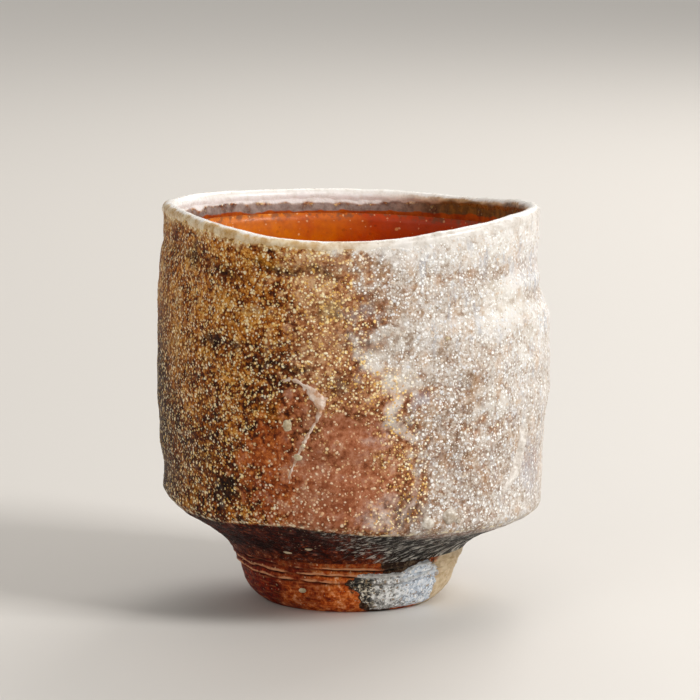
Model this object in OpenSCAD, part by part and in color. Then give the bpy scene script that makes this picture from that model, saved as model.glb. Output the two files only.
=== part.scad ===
// Wood-fired yunomi tea cup: a thrown clay body with a keel, a turned foot ring, the glazes on them,
// and the stones, ash beads, ash run and torn clay that the making and the firing left on the wall.
// Millimetres, +Z up. The origin is at the level of the foot face under the middle of the wall, and the
// front of the cup faces -Y.

/* [Wall] */
// Height of the rim above the foot face, before it sways
cup_h = 85; // [75:1:110]
// Outer radius at the rim
rim_r = 41; // [36:0.5:50]
// How far the wall swells out halfway up
belly_out = 1.4; // [0:0.1:3]
// How far the swollen wall leans towards +X
belly_lean = 0.7; // [0:0.1:2]
// How far the wall is pushed in at its deepest dent
dent = 1.6; // [0:0.1:2.5]
// Thickness of the clay wall
wall_t = 4.2; // [3:0.1:6]
// Thickness of the rounded lip
lip_t = 2.8; // [2:0.1:4]
// How far each throwing ridge stands out
ridge_out = 0.28; // [0:0.02:0.5]
// Height from one throwing ridge to the next
ridge_pitch = 8.2; // [7:0.2:14]
// Height of the clearest groove between two throwing ridges
wall_groove_h = 60.5; // [50:0.5:70]

/* [Keel and underside] */
// Outer radius at the keel, where the wall turns under
keel_r = 41.3; // [36:0.5:50]
// Height of the keel above the foot face
keel_h = 23.9; // [18:0.1:28]
// Height of the rounding under the keel
keel_round = 3.4; // [1.5:0.1:4]
// How far the keel dips at its lowest place
keel_dip = 1.5; // [0:0.1:2.5]
// How far the keel is pushed up at the front left
keel_lift = 1.5; // [0:0.1:3]
// How far the keel lies towards +X of the foot's axis
keel_shift = 0.6; // [0:0.1:1.5]

/* [Well] */
// Thickness of the clay floor over the foot
floor_t = 6.5; // [4:0.5:9]
// Height of the round corner between floor and wall
corner_h = 15; // [9:0.5:20]
// Radius of the level middle of the floor
floor_r = 10; // [5:0.5:14]

/* [Out of round] */
// How far the rim is stretched on its long diagonal
lobe2 = 0.85; // [0:0.05:2]
// How far three sides of the rim stand out
lobe3 = 0.6; // [0:0.05:1.5]
// How far the four corners of the rim stand out
lobe4 = 1.1; // [0:0.05:2]
// How far the rim rises at its two ends and sinks between them
sway2 = 1.2; // [0:0.1:2.5]
// How far the rim rises and sinks three times round
sway3 = 0.55; // [0:0.05:1.5]

/* [Foot] */
// Height of the foot
foot_h = 12; // [8:0.5:14]
// Radius of the foot at its top
foot_top_r = 26; // [23:0.5:32]
// Radius of the foot just above its rounded lower edge
foot_low_r = 22.6; // [20:0.1:24]
// Outer radius of the face that the cup stands on
foot_face_r = 18.8; // [18.2:0.1:22]
// Height of the rounded lower edge
foot_edge_h = 4.2; // [1:0.1:5]
// Step between the foot and the underside
foot_step = 0.4; // [0:0.05:1]
// Radius of the recess at the foot face
recess_r = 15.5; // [12:0.5:17]
// Depth of the recess
recess_d = 6; // [4:0.5:7]
// Height of the small cone left in the middle of the recess
cone_h = 1.2; // [0.4:0.1:2]
// Radius of that cone
cone_r = 4; // [2:0.5:6]
// Number of turning grooves round the foot
groove_count = 3; // [0:1:4]
// Height from one turning groove to the next
groove_pitch = 1.1; // [0.8:0.1:1.4]
// Depth of a turning groove
groove_d = 0.3; // [0:0.05:0.6]
// Height of the lowest turning groove
groove_h = 7.2; // [4:0.1:8]

/* [Glazes] */
// Thickness of the glaze that lines the well
liner_t = 0.5; // [0.3:0.05:1]
// Height of the bare band between the lip glaze and the liner
liner_drop = 2.6; // [2:0.1:10]
// Thickness of the glaze on the lip
lip_glaze_t = 0.3; // [0.15:0.05:0.6]
// How far the lip glaze runs down below the rounding of the lip
lip_glaze_drop = 1.2; // [0.4:0.1:3]
// Thickness of the ash glaze on the foot
foot_ash_t = 0.6; // [0.3:0.05:1]
// How far the ash glaze's upper edge lies below the top of the foot
foot_ash_drop = 1.2; // [0.6:0.1:3]
// Height of the ash glaze's lower edge on the foot
foot_ash_low = 0.8; // [0.4:0.1:2]

/* [Stones and marks] */
// Width of the largest stone in the wall
stone_w = 2.6; // [1.5:0.1:4]
// How far a stone stands out of the clay
stone_out = 0.45; // [0.2:0.05:0.8]
// How deep a stone sits in the clay
stone_in = 0.9; // [0.5:0.1:1.5]
// Radius of the larger ash bead at the keel
bead_r = 1.7; // [1:0.1:2.5]
// How far an ash bead stands out of the clay
bead_out = 0.9; // [0.4:0.05:1.4]
// How deep an ash bead sits in the clay
bead_in = 0.7; // [0.4:0.05:1.2]
// Width of the torn clay flap at its widest
flap_w = 2.4; // [1.5:0.1:4]
// How far the torn clay flap stands out
flap_out = 0.8; // [0.4:0.05:1.2]
// Width of the ash run on the +X side at its widest
run_w = 2.8; // [1.5:0.1:4]
// How far the ash run stands out
run_out = 0.7; // [0.3:0.05:1.2]

/* [Hidden] */

facets = 60;                // points round each ring of the wall
round_facets = 120;         // and round the foot, which is truly round
stone_facets = 12;
underside_rows = 6;
keel_rows = 3;
wall_rows = 28;
lip_rows = 5;
band_rows = 2;
well_rows = 7;
corner_rows = 7;
edge_rows = 4;
foot_rows = 26;

lobe2_at = -45;             // directions of the lobes and of the sway, anticlockwise from +X
lobe3_at = 6.3;
lobe4_at = -20.2;
sway2_at = -6;
sway3_at = -23;
keel_dip_at = -42;
keel_lift_at = -108;
foot_ash_from = -91;        // the ash glaze on the foot lies between these directions
foot_ash_to = -36;
keel_lift_half = 20;        // half the width of that push, in degrees
underside_power = 0.75;     // the underside rises steeply at the foot, then flattens
foot_power = 1.2;           // the foot flares more towards its top
plan_power = 0.7;           // the rim's lobes fade downwards at this power of the height
sway_power = 3;
thin_power = 3;             // the wall keeps its thickness, then thins towards the lip
seam = 0.15;                // how deep a strip's root reaches into the clay under it
feather_share = 0.3;        // thickness of a glaze at its thin edge, as a share of its full thickness
crest_share = 1.3;          // thickness of the foot's ash glaze at its upper edge, likewise
foot_edge_shares = [0.6, 0.3];    // where the foot's lower edge bends, across and up
keel_round_share = 0.8;     // how far the rounding under the keel draws in, as a share of its height
near_share = 0.02;          // step along an outline that measures its lean

floor_z = foot_h + floor_t;
corner_z = floor_z + corner_h;
lip_mid_r = rim_r - lip_t / 2;
lip_mid_z = cup_h - lip_t / 2;
lip_edge_z = lip_mid_z - lip_glaze_drop;
liner_edge_z = lip_edge_z - liner_drop;
foot_ash_h = foot_h - foot_ash_drop;
keel_low = [keel_r - keel_round_share * keel_round, keel_h - keel_round];
keel_turn = [keel_r, keel_h - keel_round / 2];
degree = PI * keel_r / 180; // length of one degree round the wall

function mix(a, b, t) = a + (b - a) * t;
function clamp(t) = min(1, max(0, t));
function smooth(t) = t * t * (3 - 2 * t);
function bell(t) = exp(-t * t);
function turned(a, b) = (a - b + 900) % 360 - 180;
function sum(list) = list * [for (one = list) 1];
function bezier(a, b, c, t) = (1 - t) * (1 - t) * a + 2 * t * (1 - t) * b + t * t * c;
function last(list) = list[len(list) - 1];
function backwards(list) = [for (i = [len(list) - 1:-1:0]) list[i]];

// Outlines are [radius, height]. A share runs from 0 at the lower end to 1 at the upper end.
function wall_z(share) = mix(keel_h, lip_mid_z, share);
function wall_share(z) = (z - keel_h) / (lip_mid_z - keel_h);
function ridges(z) = -ridge_out * cos(360 * (z - wall_groove_h) / ridge_pitch);
function plain_r(z) =
    let (share = wall_share(z))
    mix(keel_r, rim_r, share) + belly_out * pow(sin(180 * share), 2);
function wall_r(z) = plain_r(z) + ridges(z) * sin(180 * clamp(wall_share(z)));
function well_r(z) = plain_r(z) - mix(wall_t, lip_t, pow(wall_share(z), thin_power));
function wall_at(z) = [wall_r(z), z];
function well_at(z) = [well_r(z), z];
function underside_at(share) =
    [mix(foot_top_r, keel_low[0], share), mix(foot_h, keel_low[1], pow(share, underside_power))];
function keel_at(share) = bezier(keel_low, keel_turn, wall_at(keel_h), share);
function lip_at(share) =
    [lip_mid_r + lip_t / 2 * cos(180 * share), lip_mid_z + lip_t / 2 * sin(180 * share)];
function corner_at(share) =
    bezier([floor_r, floor_z], [well_r(corner_z), floor_z], well_at(corner_z), share);

// Each dent with its direction, the share of the wall's height where it is, half its width in degrees,
// half its height as a share of the wall's height, and its depth as a share of the deepest one's
dent_shares = [[0, 0.83, 32, 0.17, 1], [180, 0.97, 30, 0.13, 0.55]];
function dents(a, z) = dent * sum([for (d = dent_shares)
    d[4] * bell(turned(a, d[0]) / d[2]) * bell((wall_share(z) - d[1]) / d[3])]);

// The lobes, the dents, the sway, the keel and the lean turn an outline point at an angle into a place.
function height_share(z) = clamp((z - foot_h) / (cup_h - foot_h));
function lobes(a) = lobe2 * cos(2 * (a - lobe2_at)) + lobe3 * cos(3 * (a - lobe3_at))
    + lobe4 * cos(4 * (a - lobe4_at));
function sway(a) = sway2 * cos(2 * (a - sway2_at)) + sway3 * cos(3 * (a - sway3_at));
function keel_sway(a) = keel_lift * bell(turned(a, keel_lift_at) / keel_lift_half)
    - keel_dip * cos(a - keel_dip_at);
function near_keel(z) = smooth(clamp(1 - abs(z - keel_h) / (keel_h - foot_h)));
function lean(z) = belly_lean * sin(180 * clamp(wall_share(z))) + keel_shift * near_keel(z);
function place(p, a) =
    let (up = height_share(p[1]),
        r = p[0] + lobes(a) * pow(up, plan_power) * p[0] / rim_r - dents(a, p[1]))
    [r * cos(a) + lean(p[1]), r * sin(a),
        p[1] + sway(a) * pow(up, sway_power) + keel_sway(a) * near_keel(p[1])];

// The lobes and the lean put the middle of the wall off the axis of the foot, and this brings it back.
function wall_extent(way) = [for (i = [0:wall_rows], j = [0:facets - 1])
    place(wall_at(wall_z(i / wall_rows)), 360 * j / facets)[way]];
function middle(list) = (max(list) + min(list)) / 2;
to_middle = [-middle(wall_extent(0)), -middle(wall_extent(1)), 0];

// One outline point moved out from the clay, square to its outline
function off_outline(rows, i, d) =
    let (along = rows[min(i + 1, len(rows) - 1)] - rows[max(i - 1, 0)])
    rows[i] + d * [along[1], -along[0]] / norm(along);

// Faces between rings of points, each ring anticlockwise seen from above
function band_faces(rings, first, n) = [for (k = [0:rings - 2], i = [0:n - 1])
    let (a = first + k * n + i, b = first + k * n + (i + 1) % n)
    each [[a, a + n, b + n], [a, b + n, b]]];

// A closed solid whose outline starts and ends on the axis
module thrown(outline) {
    rows = [for (i = [1:len(outline) - 2]) outline[i]];
    count = len(rows);
    rings = [for (p = rows, i = [0:facets - 1]) place(p, 360 * i / facets)];
    top = 1 + count * facets;
    low_cap = [for (i = [0:facets - 1]) [0, 1 + i, 1 + (i + 1) % facets]];
    high_cap = [for (i = [0:facets - 1]) [top, top - facets + (i + 1) % facets, top - facets + i]];
    polyhedron(points = concat([place(outline[0], 0)], rings, [place(last(outline), 0)]),
        faces = concat(low_cap, band_faces(count, 1, facets), high_cap));
}

// A closed ring whose section is a loop of outline points
module hoop(loop) {
    points = [for (p = loop, i = [0:facets - 1]) place(p, 360 * i / facets)];
    wrapped = [for (f = band_faces(len(loop) + 1, 0, facets)) [for (i = f) i % len(points)]];
    polyhedron(points = points, faces = wrapped);
}

// Clay body
function underside() = [for (i = [0:underside_rows]) underside_at(i / underside_rows)];
function keel() = [for (i = [1:keel_rows]) keel_at(i / (keel_rows + 1))];
function clay_wall() =
    concat([for (i = [0:wall_rows]) wall_at(mix(keel_h, lip_edge_z, i / wall_rows))],
        [wall_at(lip_mid_z)]);
function lip() = [for (i = [1:lip_rows]) lip_at(i / (lip_rows + 1))];
function bare_band() =
    concat([well_at(lip_mid_z)],
        [for (i = [0:band_rows - 1]) well_at(mix(lip_edge_z, liner_edge_z, i / band_rows))]);
function lined_wall() =
    [for (i = [0:well_rows]) well_at(mix(liner_edge_z, corner_z, i / well_rows))];
function corner() = [for (i = [1:corner_rows]) corner_at(1 - i / corner_rows)];

module clay_body() {
    color([0.55, 0.42, 0.30])
    difference() {
        thrown(concat([[0, foot_h]], underside(), keel(), clay_wall(), lip(), bare_band(),
            lined_wall(), corner(), [[0, floor_z]]));
        wall_stones();
        underside_stones();
        ash_bead_shapes();
    }
}

// Foot ring
function groove(z) = groove_count == 0 ? 0 :
    let (turn = (z - groove_h) / groove_pitch, inside = turn > -0.5 && turn < groove_count - 0.5)
    inside ? groove_d * pow(cos(180 * turn), 2) : 0;
function foot_wall_at(z) =
    let (share = clamp((z - foot_edge_h) / (foot_h - foot_edge_h)))
    [mix(foot_low_r, foot_top_r - foot_step, pow(share, foot_power)) - groove(z), z];
function foot_edge_at(share) =
    bezier([foot_face_r, 0],
        [mix(foot_face_r, foot_low_r, foot_edge_shares[0]), foot_edge_shares[1] * foot_edge_h],
        [foot_low_r, foot_edge_h], share);
function foot_side() = concat([for (i = [0:edge_rows - 1]) foot_edge_at(i / edge_rows)],
    [for (i = [0:foot_rows]) foot_wall_at(mix(foot_edge_h, foot_h, i / foot_rows))]);
recess_shares = [[0.75, 1], [0.92, 0.8], [1, 0]];
function recess() = concat(
    [[0, recess_d - cone_h], [cone_r / 2, recess_d - cone_h / 2], [cone_r, recess_d]],
    [for (s = recess_shares) [s[0] * recess_r, s[1] * recess_d]]);

module foot_ring() {
    color([0.62, 0.27, 0.13])
    difference() {
        rotate_extrude($fn = round_facets)
        polygon(concat(recess(), foot_side(), [[0, foot_h]]));
        foot_stones();
    }
}

// Glazes: each lies on the very outline of the clay under it
module liner_glaze() {
    under = concat([[0, floor_z]], backwards(corner()), backwards(lined_wall()));
    count = len(under);
    over = [for (i = [count - 1:-1:1])
        off_outline(under, i, i == count - 1 ? -feather_share * liner_t : -liner_t)];
    color([0.72, 0.28, 0.07])
    thrown(concat(under, over, [[0, floor_z + liner_t]]));
}

module lip_glaze() {
    rows = concat([wall_at(lip_edge_z), wall_at(lip_mid_z)], lip(),
        [well_at(lip_mid_z), well_at(lip_edge_z)]);
    count = len(rows);
    over = [for (i = [0:count - 1])
        off_outline(rows, i, i == 0 || i == count - 1 ? feather_share * lip_glaze_t : lip_glaze_t)];
    color([0.86, 0.80, 0.70])
    hoop(concat(over, backwards(rows)));
}

module foot_ash_glaze() {
    radii = [for (p = foot_side()) [p[1], p[0]]];
    heights = concat([foot_ash_low],
        [for (p = foot_side()) if (p[1] > foot_ash_low && p[1] < foot_ash_h) p[1]], [foot_ash_h]);
    rows = [for (z = heights) [lookup(z, radii), z]];
    over = [for (i = [0:len(rows) - 1])
        rows[i] + [foot_ash_t * (i == 0 ? feather_share : i == len(rows) - 1 ? crest_share : 1), 0]];
    color([0.72, 0.72, 0.70])
    rotate([0, 0, foot_ash_from])
    rotate_extrude(angle = foot_ash_to - foot_ash_from, $fn = round_facets)
    polygon(concat(over, backwards(rows)));
}

// Stones and beads, each with its direction, its share of the height of the surface that holds it,
// and its width and height as shares of the largest one's width
wall_stone_shares = [[-108.2, 0.356, 0.56, 1], [-105, 0.244, 0.72, 0.66], [-103.3, 0.285, 0.36, 0.36],
    [-61, 0.653, 0.5, 0.4], [38, 0.51, 0.6, 0.8], [104, 0.387, 0.7, 0.5], [151, 0.591, 0.5, 0.6],
    [207, 0.264, 0.6, 0.44]];
underside_stone_shares = [[-106.3, 0.36, 0.72, 0.4], [-117, 0.2, 0.9, 0.36], [64, 0.45, 0.7, 0.5]];
foot_stone_shares = [[-115.6, 0.47, 0.72, 0.5], [96, 0.3, 0.6, 0.5]];
bead_shares = [[-59.2, 0.028, 1, 1], [-66.6, 0.012, 0.82, 0.9]];

// An upright ellipsoid laid on a surface, which two outline points one step apart give
module lump(low, high, a, w, h, out, in) {
    tilt = atan2(high[0] - low[0], high[1] - low[1]);
    translate(place(low, a))
    rotate([0, tilt, a])
    translate([(out - in) / 2, 0, 0])
    scale([(out + in) / 2, w / 2, h / 2])
    sphere(r = 1, $fn = stone_facets);
}

module wall_lump(s, w, out, in)
    lump(wall_at(wall_z(s[1])), wall_at(wall_z(s[1] + near_share)), s[0], s[2] * w, s[3] * w, out, in);
module wall_stones()
    for (s = wall_stone_shares) wall_lump(s, stone_w, stone_out, stone_in);
module ash_bead_shapes()
    for (s = bead_shares) wall_lump(s, 2 * bead_r, bead_out, bead_in);
module underside_stones()
    for (s = underside_stone_shares)
        lump(underside_at(s[1]), underside_at(s[1] + near_share), s[0], s[2] * stone_w,
            s[3] * stone_w, stone_out, stone_in);
module foot_stones()
    for (s = foot_stone_shares)
        lump(foot_wall_at(s[1] * foot_h), foot_wall_at((s[1] + near_share) * foot_h), s[0],
            s[2] * stone_w, s[3] * stone_w, stone_out, stone_in);

module feldspar_stones() {
    color([0.84, 0.76, 0.62]) {
        wall_stones();
        underside_stones();
        foot_stones();
    }
}

module ash_beads() {
    color([0.80, 0.74, 0.66])
    ash_bead_shapes();
}

// Strips that stand on the wall. Each point of a strip has its direction, its share of the wall's
// height, and its width and its rise as shares of the strip's greatest ones.
strip_section_shares = [[-0.5, 0], [-0.32, 0.8], [0, 1], [0.3, 0.7], [0.5, 0]];
flap_shares = [[-109, 0.517, 0.33, 0.4], [-105.5, 0.523, 0.42, 0.6], [-102.5, 0.517, 0.67, 0.8],
    [-99.6, 0.496, 1, 1], [-97.4, 0.456, 1, 1], [-97.6, 0.415, 0.75, 0.9], [-99.1, 0.377, 0.5, 0.7],
    [-101.5, 0.337, 0.4, 0.6], [-103, 0.298, 0.4, 0.6], [-104.5, 0.265, 0.38, 0.5],
    [-106, 0.224, 0.3, 0.45], [-107.3, 0.173, 0.3, 0.4], [-107.8, 0.124, 0.25, 0.35],
    [-108, 0.094, 0.17, 0.3]];
run_shares = [[-31, 0.274, 0.5, 0.5], [-30.3, 0.227, 0.9, 0.9], [-31.5, 0.172, 1, 1],
    [-34.8, 0.131, 0.8, 0.8], [-38.7, 0.094, 0.3, 0.4]];

module strip(spine, w, out) {
    n = len(strip_section_shares);
    ends = len(spine) - 1;
    points = [for (i = [0:ends], p = strip_section_shares)
        let (s = spine[i], ahead = spine[min(i + 1, ends)], behind = spine[max(i - 1, 0)],
            along = [(ahead[0] - behind[0]) * degree, wall_z(ahead[1]) - wall_z(behind[1])],
            off = p[0] * s[2] * w * [along[1], -along[0]] / norm(along),
            z = wall_z(s[1]) + off[1])
        place([wall_r(z) + p[1] * s[3] * out - seam, z], s[0] + off[0] / degree)];
    sides = [for (i = [0:ends - 1], k = [0:n - 1])
        let (a = i * n + k, b = i * n + (k + 1) % n)
        each [[a, a + n, b + n], [a, b + n, b]]];
    caps = [for (k = [1:n - 2], z = ends * n) each [[0, k, k + 1], [z, z + k + 1, z + k]]];
    polyhedron(points = points, faces = concat(sides, caps));
}

module clay_flap() {
    color([0.86, 0.66, 0.47])
    strip(flap_shares, flap_w, flap_out);
}

module ash_run() {
    color([0.82, 0.78, 0.76])
    strip(run_shares, run_w, run_out);
}

translate(to_middle) {
    clay_body();
    foot_ring();
    liner_glaze();
    lip_glaze();
    foot_ash_glaze();
    feldspar_stones();
    ash_beads();
    clay_flap();
    ash_run();
}
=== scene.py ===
"""Looks of a wood-fired yunomi tea cup: clay, glazes, stones and ash marks over the frame's solids.

The pot is worked out in millimetres, as an outline of radii and heights that turns about the cup's
axis. Azimuths are degrees anticlockwise from +X, so the front of the cup is at -90.
"""
import math

import bpy
import numpy as np
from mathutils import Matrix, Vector, noise


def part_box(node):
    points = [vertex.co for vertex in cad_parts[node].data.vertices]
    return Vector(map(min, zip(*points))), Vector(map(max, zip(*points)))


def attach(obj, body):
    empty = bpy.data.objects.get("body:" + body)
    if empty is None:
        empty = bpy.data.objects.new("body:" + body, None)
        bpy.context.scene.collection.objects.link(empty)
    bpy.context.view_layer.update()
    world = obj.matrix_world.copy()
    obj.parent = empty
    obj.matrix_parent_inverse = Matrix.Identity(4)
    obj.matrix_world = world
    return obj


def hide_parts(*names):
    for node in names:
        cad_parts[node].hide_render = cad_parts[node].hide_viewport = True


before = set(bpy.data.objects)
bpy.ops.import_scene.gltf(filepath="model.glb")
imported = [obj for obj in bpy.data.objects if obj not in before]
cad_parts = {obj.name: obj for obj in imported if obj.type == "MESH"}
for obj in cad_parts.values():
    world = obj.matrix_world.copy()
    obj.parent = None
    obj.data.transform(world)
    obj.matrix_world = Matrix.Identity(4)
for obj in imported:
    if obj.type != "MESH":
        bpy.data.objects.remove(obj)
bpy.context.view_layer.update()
MM = 0.001
foot_low, foot_high = (np.array(corner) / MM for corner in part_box("foot_ring"))
AXIS_X, AXIS_Y, _ = (foot_low + foot_high) / 2


# Camera, as the photograph sees the cup

PHOTO_W = 700
FOCAL_PIXELS = 4605
SENSOR_MM = 36.0
CAMERA_AWAY = 990.0
CAMERA_UP = 214.7
CAMERA_DOWN = math.radians(9.21)
CUP_SHIFT = 0.42

camera_data = bpy.data.cameras.new("camera")
camera_data.sensor_width = SENSOR_MM
camera_data.lens = SENSOR_MM * FOCAL_PIXELS / PHOTO_W
camera_data.clip_end = 20
camera = bpy.data.objects.new("camera", camera_data)
camera.location = ((AXIS_X + CUP_SHIFT) * MM, (AXIS_Y - CAMERA_AWAY) * MM, CAMERA_UP * MM)
camera.rotation_euler = (math.pi / 2 - CAMERA_DOWN, 0, 0)
bpy.context.collection.objects.link(camera)
bpy.context.scene.camera = camera


# Sizes of the pot, as its solids have them

FOOT_H = foot_high[2]
FOOT_TOP_R = (foot_high[0] - foot_low[0]) / 2
CUP_H = 85.0
RIM_R = 41.0
WALL_T = 4.2
LIP_T = 2.8
BELLY_OUT = 1.4
BELLY_LEAN = 0.7
RIDGE_OUT = 0.28
RIDGE_PITCH = 8.2
RIDGE_LOW = 60.5
KEEL_R = 41.3
KEEL_H = 23.9
KEEL_ROUND = 3.4
KEEL_SHIFT = 0.6
KEEL_DIP = 1.5
KEEL_DIP_AT = -42
KEEL_LIFT = 1.5
KEEL_LIFT_AT = -108
KEEL_LIFT_HALF = 20
LEVEL_R = 14.0           # radius within which the keel's sway fades out
UNDERSIDE_R = 26.0
FLOOR_T = 6.5
CORNER_H = 15.0
FLOOR_R = 10.0
LINER_T = 0.5
LINER_DROP = 2.6
LIP_GLAZE_T = 0.3
LIP_GLAZE_DROP = 1.2
FOOT_LOW_R = 22.6
FOOT_FACE_R = 18.8
FOOT_EDGE_H = 4.2
FOOT_EDGE_BEND = (0.6, 0.3)
RECESS_R = 15.5
RECESS_D = 6.0
CONE_H = 1.2
CONE_R = 4.0
LINES = 3
LINES_LOW = 8.1
LINES_APART = 1.65
LINES_TILT = 1.3
LINES_TILT_AT = -75
FOOT_ASH_LEFT, FOOT_ASH_RIGHT = -90.0, -36.0
LOBES = [(2, 0.85, -45), (3, 0.6, 6.3), (4, 1.1, -20.2)]     # times round, size, direction
SWAYS = [(2, 1.2, -6), (3, 0.55, -23)]
DENTS = [(0, 0.83, 32, 0.17, 1.6), (180, 0.97, 30, 0.13, 0.88)]      # direction, height share, halves, depth

FLOOR_Z = FOOT_H + FLOOR_T
CORNER_Z = FLOOR_Z + CORNER_H
LIP_Z = CUP_H - LIP_T / 2
LIP_EDGE_Z = LIP_Z - LIP_GLAZE_DROP
LINER_EDGE_Z = LIP_EDGE_Z - LINER_DROP
DEGREE = math.pi * KEEL_R / 180      # millimetres to a degree round the wall


# Where the fire worked on the wall, where painted shade falls on it and inside the lip, and the rings inside
# the lip

FIRE_SIDE = -20.0        # azimuth where the white ash lies
LEFT_SIDE = -100.0       # azimuth from which the wall darkens towards the left, partly its own colour and partly painted shade on the side away from the light
SHADED_LIP_SIDE = 10.0         # azimuth where the inside of the lip is darkest, with painted shade on the side away from the light
SHADE_RISE = 1.8          # how much higher cream turns to brown there, as painted shade
# Depths below the crest between which the cream ring ends and the others start
CREAM_ENDS = (2.1, 3.3)
BROWN_STARTS = (2.2, 3.4)
RED_STARTS = (4.1, 4.9)
PALE_LIP_H = 2.2         # height of the pale band outside the lip
PALE_LIP_MORE = 2.4      # how much higher it is on the fire side


def mix(a, b, t):
    return a + (b - a) * t


def soft(value, low, high):
    """0 below low, 1 above high, eased between them"""
    t = np.clip((value - low) / (high - low), 0, 1)
    return t * t * (3 - 2 * t)


def apart(a, b):
    """The signed angle from b to a, in degrees"""
    return (np.asarray(a) - b + 180) % 360 - 180


def bell(value, width):
    return np.exp(-(value / width) ** 2)


def wall_share(z):
    return (z - KEEL_H) / (LIP_Z - KEEL_H)


def swell(z):
    return np.sin(np.pi * np.clip(wall_share(z), 0, 1))


def plain_r(z):
    return mix(KEEL_R, RIM_R, wall_share(z)) + BELLY_OUT * swell(z) ** 2


def well_r(z):
    return plain_r(z) - mix(WALL_T, LIP_T, np.clip(wall_share(z), 0, 1) ** 3)


def waves(table, a):
    return sum(size * np.cos(np.radians(n * (a - at))) for n, size, at in table)


def place(r, z, a):
    """Turns outline points at azimuths into places in space, with the cup's lobes, sway, dip and lean"""
    up = np.clip((z - FOOT_H) / (CUP_H - FOOT_H), 0, 1)
    near_keel = soft(1 - np.abs(z - KEEL_H) / (KEEL_H - FOOT_H), 0, 1)
    pushed = KEEL_LIFT * bell(apart(a, KEEL_LIFT_AT), KEEL_LIFT_HALF)
    keel_sway = (pushed - KEEL_DIP * np.cos(np.radians(a - KEEL_DIP_AT))) * soft(r, 0, LEVEL_R)
    dents = sum(depth * bell(apart(a, at), half_a) * bell(wall_share(z) - high, half_z)
                for at, high, half_a, half_z, depth in DENTS)
    r = r + waves(LOBES, a) * up ** 0.7 * r / RIM_R - dents
    x = AXIS_X + r * np.cos(np.radians(a)) + BELLY_LEAN * swell(z) + KEEL_SHIFT * near_keel
    y = AXIS_Y + r * np.sin(np.radians(a))
    return np.stack([x, y, z + waves(SWAYS, a) * up ** 3 + keel_sway * near_keel], axis=-1)


def grain(points, size, octaves, shift=0.0):
    """Fractal noise at points in millimetres, about -1 to 1, with features of the given size"""
    move = Vector((shift, shift, shift))
    return np.array([noise.fractal(Vector(p) / size + move, 0.6, 2.0, octaves) for p in points])


# Relief of the outer wall: spiral throwing ridges, grooves, dents and lumps of ash

# Azimuth, height, half width in degrees, half height, rise, rise of height per degree
WALL_GROOVES = [
    (-172, 77.5, 34, 1.3, -0.75, 0.0), (-10, 68.5, 26, 1.5, -0.8, 0.02), (-128, 60.3, 30, 1.2, -0.5, -0.06),
    (-150, 63.0, 30, 2.0, 0.35, 0.0), (-105, 78.6, 26, 1.2, -0.35, 0.0), (-20, 74.0, 30, 2.6, -0.35, 0.0),
    (-8, 62.5, 24, 3.5, 0.45, 0.0), (0, 39.5, 22, 2.5, -0.35, 0.0), (-162, 47.0, 20, 1.6, -0.3, 0.0),
    (60, 58.0, 40, 1.5, -0.5, 0.02), (120, 71.0, 40, 1.5, -0.5, -0.02), (150, 40.0, 35, 1.5, -0.4, 0.03),
    (-45, 44.0, 12, 5.0, -0.3, 0.0), (-78, 50.0, 7, 6.0, 0.35, 0.0), (-60, 57.0, 18, 1.4, -0.3, 0.05),
    (0, 28.5, 36, 5.0, 0.6, 0.0), (180, 27.5, 30, 4.0, -0.45, 0.0), (-105, 49.0, 4.5, 4.0, -0.3, 0.0),
]


def wall_marks(a, z):
    total = 0
    for at, high, half_a, half_z, rise, slope in WALL_GROOVES:
        off = apart(a, at)
        total = total + rise * bell(off, half_a) * bell(z - high - slope * off, half_z)
    return total


def crust(a, z):
    """How thick the white fly ash lies: the fire side of the wall, thinning downwards and to both sides"""
    start = np.interp(z, [22, 30, 40, 52, 62, 80], [-82, -76, -78, -88, -100, -104])
    turn = apart(a, FIRE_SIDE)
    left = soft(turn, start + 20, start + 20 + np.interp(z, [40, 60], [17, 36]))
    end = np.interp(z, [22, 33, 45, 57, 68, 80], [152, 128, 150, 132, 160, 140])
    right = 1 - soft(turn, end - 50, end)
    strength = 0.5 + 0.32 * soft(z, 48, 70) + 0.22 * soft(turn, -34, -6)
    strength = strength - 0.2 * bell(z - 73.5, 4.5) * (1 - soft(turn, -34, -10)) - 0.12 * soft(turn, 14, 40)
    return np.clip(left * right * strength, 0, 1)


def throwing_ridges(a, z):
    turns = -RIDGE_OUT * np.cos(2 * np.pi * (z - RIDGE_LOW) / RIDGE_PITCH + np.radians(a + 90))
    return turns * (1 - 0.8 * bell(apart(a, 175), 45) - 0.7 * bell(apart(a, -5), 30))


def relief(a, z):
    """How far the outer wall stands out of its plain outline"""
    where = place(plain_r(z), z, a)
    slow = 0.34 * grain(where, 17, 2) + 0.14 * grain(where, 6, 2, 7.0)
    fine = 0.05 * grain(where, 1.7, 2, 3.0)
    ash = crust(a, z) * (0.14 * np.abs(grain(where, 2.6, 3, 11.0)) + 0.05 * grain(where, 1.1, 2, 5.0))
    return (throwing_ridges(a, z) + wall_marks(a, z)) * swell(z) ** 0.5 + slow + fine + ash


# Turning a section into a mesh

WELD = 2e-6              # metres within which points become one
CHUNK = 20000            # vertices matched with a section at a time


def clear_selection():
    if bpy.context.object and bpy.context.object.mode != "OBJECT":
        bpy.ops.object.mode_set(mode="OBJECT")
    bpy.ops.object.select_all(action="DESELECT")


def settle(piece, nodes):
    """Smooths a finished piece, hangs it under the root body and hides the solids that it stands for"""
    clear_selection()
    piece.select_set(True)
    bpy.context.view_layer.objects.active = piece
    bpy.ops.object.shade_smooth()
    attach(piece, "root")
    if nodes:
        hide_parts(*nodes)


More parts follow.
